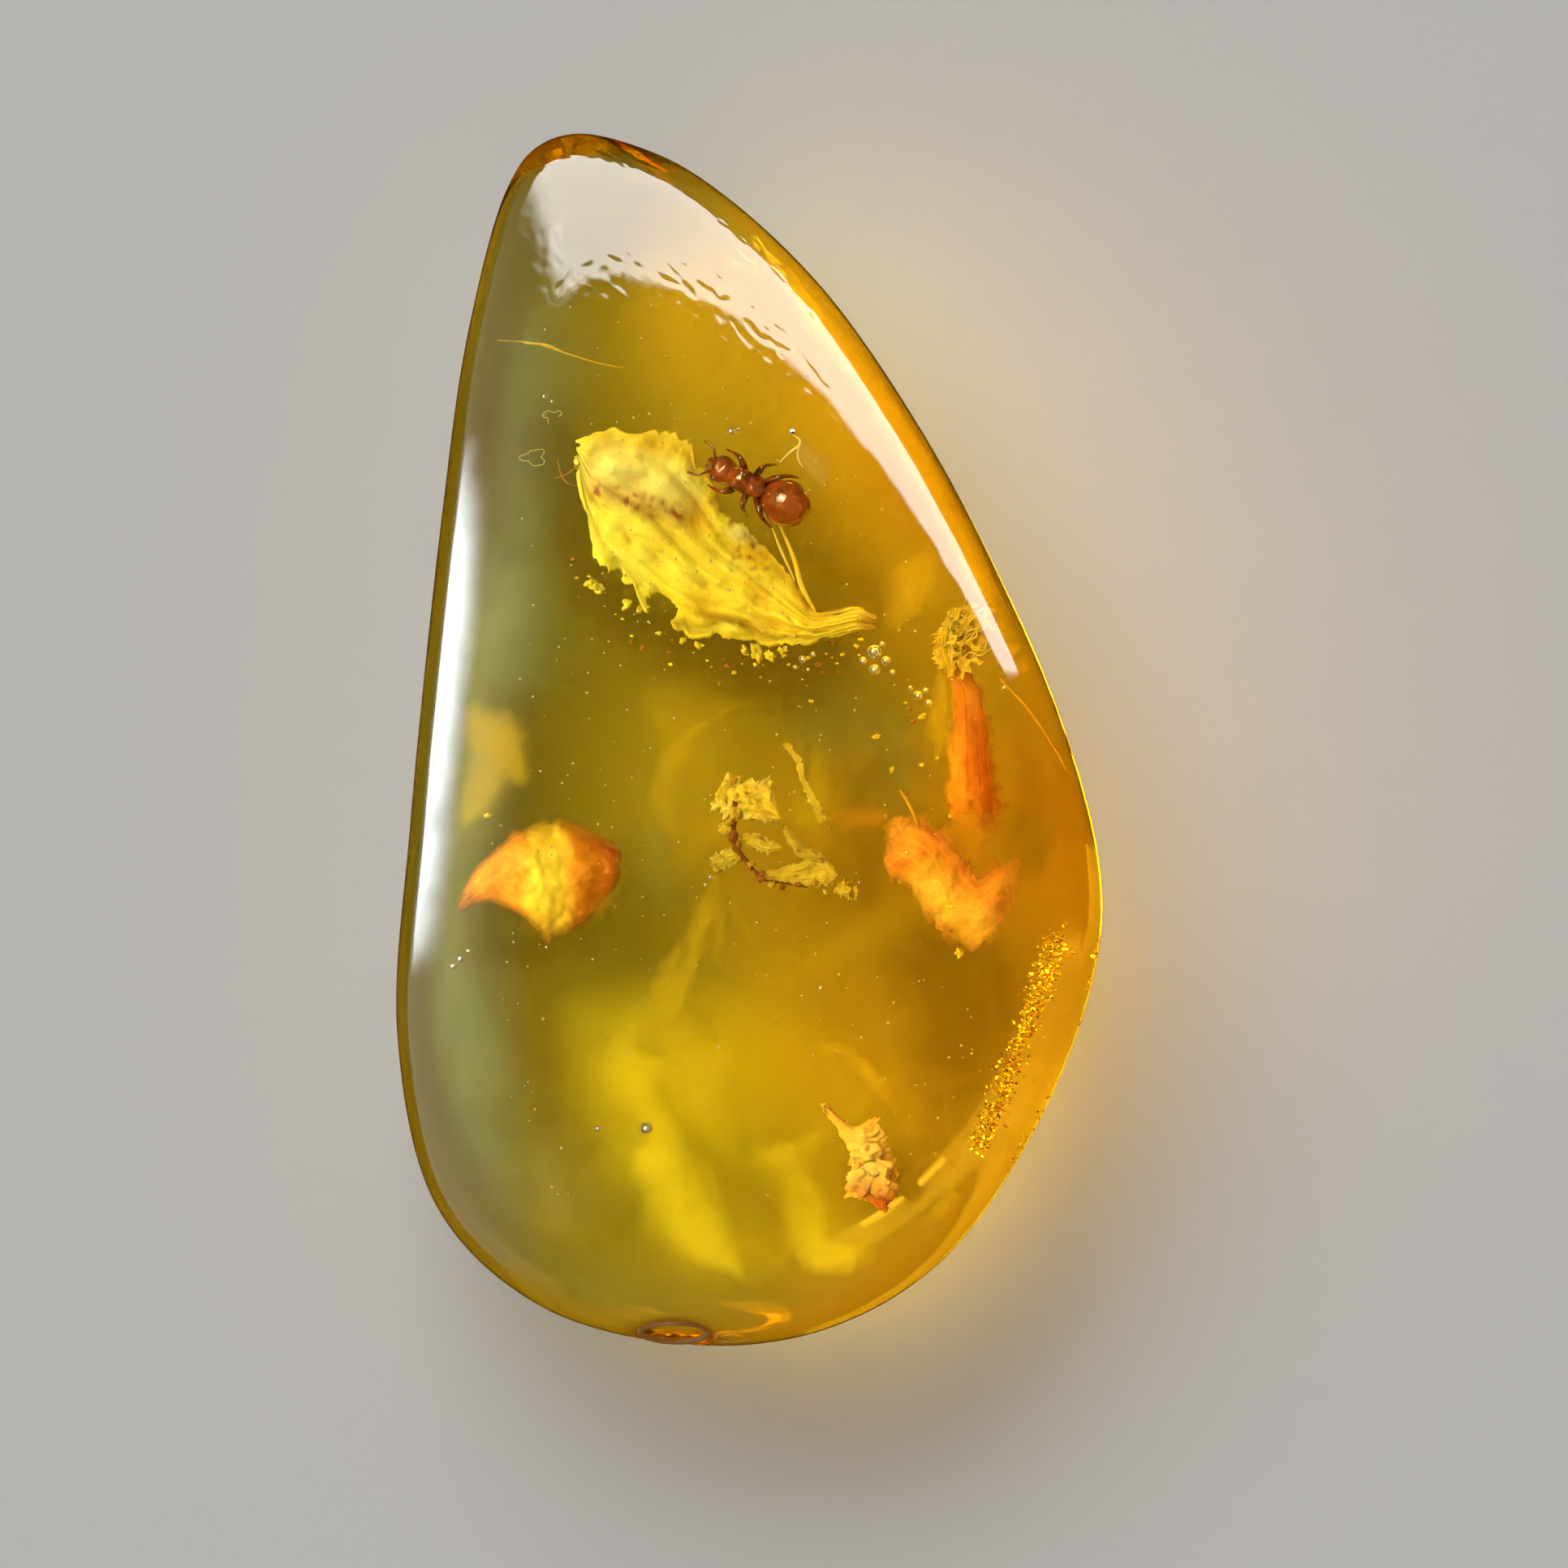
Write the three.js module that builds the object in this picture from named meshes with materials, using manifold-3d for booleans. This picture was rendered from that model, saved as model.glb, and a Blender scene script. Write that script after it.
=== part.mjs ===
// A polished drop of amber that lies on its flat back, with an ant and scraps of plants sealed inside it.
//
// Millimetres, +Z up. X runs across the drop, Y along it towards the narrow tip and Z up through its
// thickness, from the flat back to the dome. The origin is the middle of the footprint, on the back.
// The clear stone is parted in two along a gently wavy sheet that passes through everything sealed in it,
// and each half has its share of the pockets in which those pieces sit.
import * as THREE from "three";
import { mergeVertices } from "three/addons/utils/BufferGeometryUtils.js";
import Module from "manifold-3d";

const wasm = await Module();
wasm.setup();

// Driving dimensions of the drop
const LENGTH = 48;
const WIDTH = 28;
const THICKNESS = 12;
const GIRDLE_HEIGHT = 5; // the widest section, above the back
const DOME_POWER = 0.22; // smaller is flatter in the middle and tighter at the shoulder
const BACK_FLAT_SHARE = 0.74; // how far out the flat back reaches, as a share of the girdle
const AMBER_INDEX = 1.54; // refractive index

// Gaps that keep the solids apart
const PARTING_GAP = 0.3;
const POCKET_GAP = 0.35;

// Fineness of the facets
const OUTLINE_COUNT = 63; // three to each stretch of the outline between its corners
const DOME_ANGLES = [86.5, 80, 71, 59, 44, 25]; // degrees from the dome's top down to its rim
const BACK_ANGLES = [90, 58, 28, 0]; // degrees round the edge, from the flat back up to the girdle
const PARTING_SHARES = [0.88, 0.72, 0.56, 0.4, 0.24, 0]; // from the edge to the heart

// The drop's outline, from the tip round by its straight long side, as shares of half the width and length
const OUTLINE_SHARES = [
  [-0.49, 1.0], [-0.607, 0.977], [-0.685, 0.915], [-0.8, 0.673], [-0.878, 0.351], [-0.963, -0.133],
  [-1.0, -0.495], [-0.884, -0.776], [-0.592, -0.937], [-0.156, -1.0], [0.222, -0.973], [0.551, -0.857],
  [0.834, -0.615], [0.982, -0.374], [0.993, -0.213], [0.885, 0.029], [0.707, 0.27], [0.484, 0.512],
  [0.192, 0.754], [-0.113, 0.916], [-0.283, 0.971],
];
const HEART = new THREE.Vector2(-0.5, -4); // the point under the dome's top

// A chip out of the rim at the broad end
const SCAR = { at: [-2.9, -23.5, 7.3], radii: [1.45, 0.75, 0.8], turn: -0.12 };

// Everything sealed in the stone. Edges are [x, y] as they are seen straight down through the dome, listed
// along the piece with its left and right hand edges as one goes. level is the height of the middle, and
// curl lifts a point by how far it lies across the sheet, -1 to 1, and along it, 0 to 1.
const LEAF = {
  level: 8.6,
  thickness: 0.35,
  cells: [4, 12],
  left: [
    [-6.8, 11.7], [-5.8, 12.0], [-3.8, 12.1], [-2.6, 11.7], [-1.8, 10.4], [-0.8, 8.8], [0.4, 7.8],
    [1.3, 6.7], [2.1, 5.6], [2.6, 5.0], [3.4, 5.0], [4.2, 5.1], [5.0, 4.8],
  ],
  right: [
    [-6.7, 10.9], [-6.4, 8.9], [-5.9, 7.2], [-5.0, 6.1], [-3.6, 4.9], [-2.1, 4.2], [-0.6, 3.9],
    [0.7, 3.7], [1.7, 3.7], [2.5, 3.9], [3.4, 4.1], [4.2, 4.3], [4.9, 4.3],
  ],
  curl: (across, along) => {
    const fold = 0.45 * Math.cos(2.6 * across) * Math.sin(Math.PI * along) ** 2;
    return fold - 0.5 * along * along + 0.16 * Math.sin(9 * along);
  },
};
const PETAL = {
  level: 6.6,
  thickness: 0.35,
  cells: [4, 8],
  left: [
    [-11.5, -6.6], [-10.8, -5.1], [-9.9, -4.0], [-8.8, -3.2], [-7.5, -2.9], [-6.2, -3.4], [-5.2, -4.1],
    [-4.8, -4.7],
  ],
  right: [
    [-11.4, -6.9], [-10.4, -6.5], [-9.2, -6.9], [-8.3, -7.7], [-7.5, -8.0], [-6.7, -7.6], [-5.7, -6.5],
    [-4.8, -5.2],
  ],
  curl: (across, along) => 0.9 * Math.sin(Math.PI * along) * (1 - across * across) - 0.45,
};
const BARK_STRIP = {
  level: 6.8,
  thickness: 0.5,
  cells: [2, 11],
  left: [
    [9.1, 5.1], [9.1, 4.1], [8.8, 2.8], [9.3, 1.8], [9.6, 0.4], [9.8, -1.5], [10.0, -2.8], [9.7, -4.2],
  ],
  right: [
    [7.9, 4.9], [7.4, 4.1], [7.5, 2.9], [7.8, 2.0], [7.7, 0.0], [7.6, -1.5], [7.5, -2.6], [8.2, -3.6],
  ],
  curl: (across, along) => -0.5 * across * across + 0.3 * Math.sin(5 * along) - 0.5 * along,
};
const BARK_CHIP = {
  level: 8.2,
  thickness: 0.45,
  cells: [2, 9],
  left: [
    [5.5, -3.4], [6.2, -3.0], [7.2, -3.4], [7.8, -4.1], [8.4, -4.9], [8.9, -5.6], [9.5, -5.1], [10.4, -5.0],
  ],
  right: [
    [5.5, -4.3], [5.6, -5.3], [6.4, -5.7], [7.0, -6.7], [7.8, -7.6], [8.8, -8.0], [9.6, -7.4], [10.5, -5.4],
  ],
  curl: (across, along) => 0.15 * Math.cos(3 * across) - 0.6 * along * along,
};
const BUD_SCALE = {
  level: 7.6,
  thickness: 0.6,
  cells: [2, 8],
  left: [
    [3.2, -14.5], [4.2, -15.2], [4.9, -14.9], [5.3, -15.6], [5.6, -16.4], [5.9, -17.6], [5.4, -18.4],
  ],
  right: [
    [2.8, -14.3], [3.4, -15.3], [4.0, -16.4], [3.9, -17.0], [3.8, -17.9], [4.6, -18.1], [5.2, -18.5],
  ],
  curl: (across, along) => 0.35 * (1 - across * across) + 0.2 * Math.sin(6 * along),
};
const FLORET = {
  level: 8.3,
  stalkRadius: 0.24,
  stalk: [[-0.6, -1.7], [-0.5, -2.4], [-0.6, -3.0], [-0.7, -4.0], [-0.2, -4.6], [0.5, -5.4]],
  bracts: [
    {
      left: [[-0.9, -1.5], [-0.4, -1.6], [0.2, -1.6], [0.8, -1.8], [1.0, -2.3], [1.2, -2.9]],
      right: [[-1.5, -2.6], [-1.1, -2.9], [-0.6, -2.9], [-0.1, -3.2], [0.6, -3.1], [1.2, -3.1]],
    },
    {
      left: [[-1.5, -4.6], [-1.1, -4.4], [-0.6, -4.3], [-0.3, -4.6]],
      right: [[-1.4, -5.2], [-1.1, -5.2], [-0.7, -5.0], [-0.3, -4.8]],
    },
    {
      left: [[0.4, -5.3], [1.3, -5.1], [2.0, -4.8], [2.7, -4.5], [3.2, -4.9], [3.5, -5.3]],
      right: [[0.5, -5.5], [1.0, -5.6], [1.6, -5.7], [2.5, -5.8], [3.2, -5.7], [3.5, -5.4]],
    },
  ],
  bractThickness: 0.35,
  bractCells: [2, 5],
  curl: (across) => 0.2 * (1 - across * across),
};

// The ant in its own frame: +X from head to tail, its legs to either side along Y
const ANT = {
  at: [0.25, 9.85],
  level: 9.7,
  turn: -0.49,
  segments: [
    { at: [-1.45, 0, -0.05], radii: [0.56, 0.47, 0.4] }, // head
    { at: [-0.35, 0, 0], radii: [0.8, 0.36, 0.4] }, // thorax
    { at: [0.5, 0, -0.05], radii: [0.26, 0.2, 0.26] }, // waist
    { at: [1.4, 0, 0], radii: [0.95, 0.72, 0.68] }, // abdomen
  ],
  legRadius: 0.09,
  legs: [
    [[-0.75, 0.25, -0.1], [-1.05, 0.8, 0.22], [-1.55, 1.3, -0.2]],
    [[-0.3, 0.28, -0.1], [-0.3, 0.95, 0.25], [-0.5, 1.65, -0.2]],
    [[0.1, 0.25, -0.1], [0.4, 0.95, 0.25], [0.75, 1.75, -0.2]],
  ],
  feelerRadius: 0.07,
  feeler: [[-1.8, 0.2, 0.05], [-2.2, 0.65, 0.2], [-2.75, 0.75, 0.05]],
};

const COLOURS = {
  amber: 0xc98f14,
  leaf: 0xf2c43c,
  petal: 0xe07a1c,
  bark: 0xdb7f1e,
  floret: 0xe6b23a,
  bud: 0xe29a3f,
  ant: 0x4a1a0a,
};

/** A closed geometry as a solid that can be joined and cut. */
function solidOf(geometry) {
  const bare = geometry.index ? geometry.toNonIndexed() : geometry.clone();
  bare.deleteAttribute("normal");
  bare.deleteAttribute("uv");
  const merged = mergeVertices(bare, 1e-4);
  return new wasm.Manifold(
    new wasm.Mesh({
      numProp: 3,
      vertProperties: merged.getAttribute("position").array,
      triVerts: new Uint32Array(merged.index.array),
    }),
  );
}

/** The geometry of a solid, with flat facets. */
function geometryOf(solid) {
  const { vertProperties, triVerts } = solid.getMesh();
  const geometry = new THREE.BufferGeometry();
  geometry.setAttribute("position", new THREE.BufferAttribute(vertProperties, 3));
  geometry.setIndex(new THREE.BufferAttribute(triVerts, 1));
  geometry.computeVertexNormals();
  return geometry;
}

/** Several geometries joined in one solid. */
function joined(geometries) {
  return geometries.map(solidOf).reduce((whole, next) => whole.add(next));
}

/** The outline as points round the drop, closest at the tip, exactly as long and as wide as it should be. */
function dropOutline() {
  const corners = OUTLINE_SHARES.map(([x, y]) => new THREE.Vector3((x * WIDTH) / 2, (y * LENGTH) / 2, 0));
  const curve = new THREE.CatmullRomCurve3(corners, true, "centripetal");
  const points = curve.getPoints(OUTLINE_COUNT).slice(0, OUTLINE_COUNT);
  const box = new THREE.Box3().setFromPoints(points);
  const middle = box.getCenter(new THREE.Vector3());
  const size = box.getSize(new THREE.Vector3());
  const scale = new THREE.Vector3(WIDTH / size.x, LENGTH / size.y, 1);
  return points.map((point) => point.sub(middle).multiply(scale));
}

const outline = dropOutline();

/** How far out a place lies, from 0 at the heart to 1 on the outline. */
function shareOut(x, y) {
  const from = { x: x - HEART.x, y: y - HEART.y };
  for (let i = 0; i < OUTLINE_COUNT; i++) {
    const a = { x: outline[i].x - HEART.x, y: outline[i].y - HEART.y };
    const next = outline[(i + 1) % OUTLINE_COUNT];
    const b = { x: next.x - HEART.x, y: next.y - HEART.y };
    const wedge = a.x * b.y - a.y * b.x;
    const alongA = (from.x * b.y - from.y * b.x) / wedge;
    const alongB = (a.x * from.y - a.y * from.x) / wedge;
    if (alongA >= 0 && alongB >= 0) return alongA + alongB;
  }
  return 1;
}

/** The dome's height over the back at a share of the way out. */
function domeHeight(share) {
  const rise = THICKNESS - GIRDLE_HEIGHT;
  return GIRDLE_HEIGHT + rise * Math.max(1 - share * share, 0) ** DOME_POWER;
}

/** The drop's section from the middle of the back, round the edge, to the dome's top, as share and height. */
function dropProfile() {
  const edge = BACK_ANGLES.map((degrees) => {
    const angle = THREE.MathUtils.degToRad(degrees);
    return new THREE.Vector2(
      BACK_FLAT_SHARE + (1 - BACK_FLAT_SHARE) * Math.cos(angle),
      GIRDLE_HEIGHT * (1 - Math.sin(angle)),
    );
  });
  const dome = DOME_ANGLES.map((degrees) => {
    const share = Math.sin(THREE.MathUtils.degToRad(degrees));
    return new THREE.Vector2(share, domeHeight(share));
  });
  return [new THREE.Vector2(0, 0), ...edge, ...dome, new THREE.Vector2(0, THICKNESS)];
}

/** A profile of share and height, turned about the heart and drawn out to the outline. */
function drawnOut(profile) {
  const lathe = new THREE.LatheGeometry(profile, OUTLINE_COUNT);
  const places = lathe.getAttribute("position");
  for (let turn = 0; turn <= OUTLINE_COUNT; turn++) {
    const rim = outline[turn % OUTLINE_COUNT];
    profile.forEach(({ x: share, y: height }, step) => {
      const x = THREE.MathUtils.lerp(HEART.x, rim.x, share);
      const y = THREE.MathUtils.lerp(HEART.y, rim.y, share);
      places.setXYZ(turn * profile.length + step, x, y, height);
    });
  }
  return lathe;
}

/** Where a point at a level really lies, from where it is seen straight down through the dome. */
function beneath([x, y], level) {
  const step = 0.05;
  const height = (dx, dy) => domeHeight(shareOut(x + dx, y + dy));
  const normal = new THREE.Vector3(
    (height(-step, 0) - height(step, 0)) / (2 * step),
    (height(0, -step) - height(0, step)) / (2 * step),
    1,
  ).normalize();
  const bend = 1 / AMBER_INDEX;
  const along = bend * normal.z - Math.sqrt(1 - bend * bend * (1 - normal.z * normal.z));
  const ray = normal.clone().multiplyScalar(along);
  ray.z -= bend;
  const reach = (height(0, 0) - level) / -ray.z;
  return new THREE.Vector3(x + reach * ray.x, y + reach * ray.y, level);
}

/** A curve through points as they are seen, laid at a level. */
function seenCurve(points, level) {
  return new THREE.CatmullRomCurve3(points.map((point) => beneath(point, level)));
}

/** A point of a sheet's edge, moved out by grow. side is 1 for the left hand edge and -1 for the right. */
function edgePoint(edge, along, side, grow) {
  const { x, y } = edge.getTangent(along);
  const outward = new THREE.Vector3(-y * side, x * side, 0).normalize();
  return edge.getPoint(along).addScaledVector(outward, grow);
}

/** A thin curled sheet between its two edges. grow widens it on every side, for the pocket around it. */
function sheetGeometry({ left, right, level, thickness, cells, curl }, grow) {
  const leftEdge = seenCurve(left, level);
  const rightEdge = seenCurve(right, level);
  const box = new THREE.BoxGeometry(2, 1, 1, cells[0], cells[1], 1);
  const places = box.getAttribute("position");
  for (let i = 0; i < places.count; i++) {
    const across = places.getX(i);
    const along = places.getY(i) + 0.5;
    const from = edgePoint(leftEdge, along, 1, grow);
    const to = edgePoint(rightEdge, along, -1, grow);
    const ahead = leftEdge.getTangent(along).add(rightEdge.getTangent(along)).normalize();
    const pastEnd = along === 0 ? -grow : along === 1 ? grow : 0;
    const point = from.lerp(to, (across + 1) / 2).addScaledVector(ahead, pastEnd);
    point.z += curl(across, along) + 2 * places.getZ(i) * (thickness / 2 + grow);
    places.setXYZ(i, point.x, point.y, point.z);
  }
  return box;
}

/** A round stem along a curve. */
function stemGeometry(curve, radius, grow, steps) {
  const section = new THREE.Shape().absarc(0, 0, radius + grow, 0, 2 * Math.PI);
  const options = { steps, extrudePath: curve, bevelEnabled: false, curveSegments: 3 };
  return new THREE.ExtrudeGeometry(section, options);
}

/** An egg-shaped lump, grown on every side by grow. */
function lumpGeometry({ at, radii }, grow) {
  const [x, y, z] = radii.map((radius) => radius + grow);
  return new THREE.SphereGeometry(1, 8, 6).scale(x, y, z).translate(...at);
}

/** The bracts and the stalk of the floret, which grew as one piece. */
function floretGeometries(grow) {
  const { level, stalk, stalkRadius, bracts, bractThickness, bractCells, curl } = FLORET;
  const sheets = bracts.map(({ left, right }) =>
    sheetGeometry({ left, right, level, thickness: bractThickness, cells: bractCells, curl }, grow),
  );
  return [stemGeometry(seenCurve(stalk, level), stalkRadius, grow, 5), ...sheets];
}

/** The ant's body, legs and feelers, in its own frame. */
function antGeometries(grow) {
  const sides = [1, -1];
  const limb = (points, side, radius) => {
    const curve = new THREE.CatmullRomCurve3(points.map(([x, y, z]) => new THREE.Vector3(x, side * y, z)));
    return stemGeometry(curve, radius, grow, 3);
  };
  return [
    ...ANT.segments.map((segment) => lumpGeometry(segment, grow)),
    ...sides.flatMap((side) => ANT.legs.map((leg) => limb(leg, side, ANT.legRadius))),
    ...sides.map((side) => limb(ANT.feeler, side, ANT.feelerRadius)),
  ];
}

/** The ant's geometries, set down in the stone. */
function placedAnt(grow) {
  const { x, y, z } = beneath(ANT.at, ANT.level);
  return antGeometries(grow).map((geometry) => geometry.rotateZ(ANT.turn).translate(x, y, z));
}

// What is sealed in, each as the geometries that make it up when it is grown by a gap
const sealedPieces = {
  leaf: { colour: COLOURS.leaf, shapes: (grow) => [sheetGeometry(LEAF, grow)] },
  ant: { colour: COLOURS.ant, shapes: placedAnt },
  petal: { colour: COLOURS.petal, shapes: (grow) => [sheetGeometry(PETAL, grow)] },
  bark_strip: { colour: COLOURS.bark, shapes: (grow) => [sheetGeometry(BARK_STRIP, grow)] },
  bark_chip: { colour: COLOURS.bark, shapes: (grow) => [sheetGeometry(BARK_CHIP, grow)] },
  floret: { colour: COLOURS.floret, shapes: floretGeometries },
  bud_scale: { colour: COLOURS.bud, shapes: (grow) => [sheetGeometry(BUD_SCALE, grow)] },
};

/** Places down the middle of a sheet, each with its height. */
function sheetPlaces({ left, right, level, curl }) {
  const leftEdge = seenCurve(left, level);
  const rightEdge = seenCurve(right, level);
  return [0, 0.5, 1].map((along) => {
    const { x, y } = leftEdge.getPoint(along).lerp(rightEdge.getPoint(along), 0.5);
    return { x, y, level: level + curl(0, along) };
  });
}

// Places that the parting passes through
const partingPlaces = [
  ...[LEAF, PETAL, BARK_STRIP, BARK_CHIP, BUD_SCALE].flatMap(sheetPlaces),
  { x: FLORET.stalk[2][0], y: FLORET.stalk[2][1], level: FLORET.level },
  { x: ANT.at[0], y: ANT.at[1], level: ANT.level },
];

/** The parting's height: through the pieces inside the stone, and down to the girdle at its edge. */
function partingHeight(x, y) {
  let weights = 0;
  let levels = 0;
  for (const place of partingPlaces) {
    const weight = 1 / ((x - place.x) ** 2 + (y - place.y) ** 2 + 0.5) ** 2;
    weights += weight;
    levels += weight * place.level;
  }
  const inside = 1 - Math.min(shareOut(x, y), 1) ** 4;
  return GIRDLE_HEIGHT + (levels / weights - GIRDLE_HEIGHT) * inside;
}

/** A block that fills everything under the parting, raised by lift, and reaches out past the girdle. */
function belowParting(lift) {
  const margin = 1.15;
  const edge = [new THREE.Vector2(margin, GIRDLE_HEIGHT), new THREE.Vector2(1, GIRDLE_HEIGHT)];
  const top = PARTING_SHARES.map((share) => new THREE.Vector2(share, GIRDLE_HEIGHT));
  const profile = [new THREE.Vector2(0, -1), new THREE.Vector2(margin, -1), ...edge, ...top];
  const block = drawnOut(profile);
  const places = block.getAttribute("position");
  for (let i = 0; i < places.count; i++)
    if (places.getZ(i) > 0) places.setZ(i, partingHeight(places.getX(i), places.getY(i)) + lift);
  return solidOf(block);
}

/** The two clear halves of the stone, with the pockets cut out of them. */
function clearHalves() {
  const scar = lumpGeometry({ at: [0, 0, 0], radii: SCAR.radii }, 0).rotateZ(SCAR.turn).translate(...SCAR.at);
  const pockets = Object.values(sealedPieces)
    .map(({ shapes }) => joined(shapes(POCKET_GAP)))
    .reduce((whole, next) => whole.add(next));
  const stone = solidOf(drawnOut(dropProfile())).subtract(solidOf(scar)).subtract(pockets);
  return {
    amber_back: stone.intersect(belowParting(-PARTING_GAP / 2)),
    amber_front: stone.subtract(belowParting(PARTING_GAP / 2)),
  };
}

/** A named mesh of a solid. */
function named(name, solid, settings) {
  const mesh = new THREE.Mesh(geometryOf(solid), new THREE.MeshStandardMaterial(settings));
  mesh.name = name;
  return mesh;
}

const clear = { color: COLOURS.amber, roughness: 0.05, metalness: 0, transparent: true, opacity: 0.4 };
const amber = new THREE.Group();
for (const [name, solid] of Object.entries(clearHalves()))
  amber.add(named(name, solid, clear));
for (const [name, { colour, shapes }] of Object.entries(sealedPieces))
  amber.add(named(name, joined(shapes(0)), { color: colour, roughness: 0.6, metalness: 0 }));

export default amber;
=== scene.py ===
"""A polished drop of amber with an ant and scraps of plants sealed in it, lying on its flat back."""

import logging
import math
from dataclasses import dataclass, field
from enum import Enum, Flag, auto
from typing import Sequence

import bmesh
import bpy
import numpy as np
from mathutils import Euler, Matrix, Vector, noise


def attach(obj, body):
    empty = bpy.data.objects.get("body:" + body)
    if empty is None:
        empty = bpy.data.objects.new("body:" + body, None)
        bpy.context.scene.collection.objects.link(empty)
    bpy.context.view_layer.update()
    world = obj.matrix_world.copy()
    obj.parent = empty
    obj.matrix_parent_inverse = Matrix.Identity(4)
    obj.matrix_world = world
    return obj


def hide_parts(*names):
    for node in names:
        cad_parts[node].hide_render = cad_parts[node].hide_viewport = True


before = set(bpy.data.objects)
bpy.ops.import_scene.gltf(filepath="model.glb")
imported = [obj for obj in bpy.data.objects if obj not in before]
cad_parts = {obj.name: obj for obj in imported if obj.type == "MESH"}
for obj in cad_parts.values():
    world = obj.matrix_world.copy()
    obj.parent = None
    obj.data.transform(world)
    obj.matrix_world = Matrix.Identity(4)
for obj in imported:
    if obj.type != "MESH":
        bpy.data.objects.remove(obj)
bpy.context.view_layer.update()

LOG = logging.getLogger("amber")
MM = 0.001
BODY = "root"
PHOTO_SIDE = 1932
PHOTO_MIDDLE = (923.5, 911.5)
PIXELS_PER_MM = 31.02
SWIRL_SEED = 47

Colour = tuple[float, float, float]
Place = tuple[float, float]
Spot = tuple[float, float, float]


class Slot(Enum):
    """The record's finishes that pieces are made in."""

    AMBER = "amber"
    LEAF = "leaf"
    ANT = "ant"
    PETAL = "petal"
    BARK = "bark"
    FLORET = "floret"
    BUD = "bud"


class Hue(Enum):
    """The colours that haze has in the stone."""

    LEMON = (1.0, 0.88, 0.05)
    GOLD = (1.0, 0.7, 0.04)
    ORANGE = (0.95, 0.42, 0.03)
    # painted glow: bright haze laid along the upper right rim, where light runs round inside the stone
    GLOW = (1.0, 0.66, 0.02)
    OLIVE = (0.36, 0.3, 0.04)
    MILK = (0.6, 0.72, 0.62)
    TEAL = (0.13, 0.25, 0.23)
    # painted shade: dark haze laid under the leaf and in the darker zones between the scraps
    SHADE_BROWN = (0.1, 0.045, 0.006)
    SMOKE = (0.8, 0.78, 0.66)


COOL = (0.86, 0.94, 1.0)


class Shows(Flag):
    """What a lamp shows up in: gloss on the stone, light in its depths, and dull surfaces outside it."""

    GLOSS = auto()
    DEPTHS = auto()
    SURFACES = auto()


class Curve:
    """A smooth line through points, which passes every one of them."""

    def __init__(self, points: Sequence[Sequence[float]], closed: bool = False) -> None:
        """Keeps the points and the ends that they lead on to.

        Args:
            points: The points the line passes, in order.
            closed: Whether the line goes back to its first point.
        """
        self.closed = closed
        self.points = np.array(points, dtype=float)
        if closed:
            self.padded = np.vstack([self.points[-1:], self.points, self.points[:2]])
        else:
            first = 2 * self.points[0] - self.points[1]
            last = 2 * self.points[-1] - self.points[-2]
            self.padded = np.vstack([first, self.points, last])

    def at(self, along: np.ndarray) -> np.ndarray:
        """Gives points of the line.

        Args:
            along: How far along each point is, from 0 to 1.

        Returns:
            One row for each point.
        """
        spans = len(self.points) if self.closed else len(self.points) - 1
        run = np.clip(np.asarray(along, dtype=float), 0, 1) * spans
        span = np.minimum(run.astype(int), spans - 1)
        step = (run - span)[:, None]
        before, start, end, after = (self.padded[span + k] for k in range(4))
        gap0 = np.sqrt(np.linalg.norm(start - before, axis=1))[:, None]
        gap1 = np.sqrt(np.linalg.norm(end - start, axis=1))[:, None]
        gap2 = np.sqrt(np.linalg.norm(after - end, axis=1))[:, None]
        leave = (start - before) / gap0 - (end - before) / (gap0 + gap1) + (end - start) / gap1
        reach = (end - start) / gap1 - (after - start) / (gap1 + gap2) + (after - end) / gap2
        leave, reach = leave * gap1, reach * gap1
        cubic = 2 * start - 2 * end + leave + reach
        square = -3 * start + 3 * end - 2 * leave - reach
        return start + leave * step + square * step**2 + cubic * step**3


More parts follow.
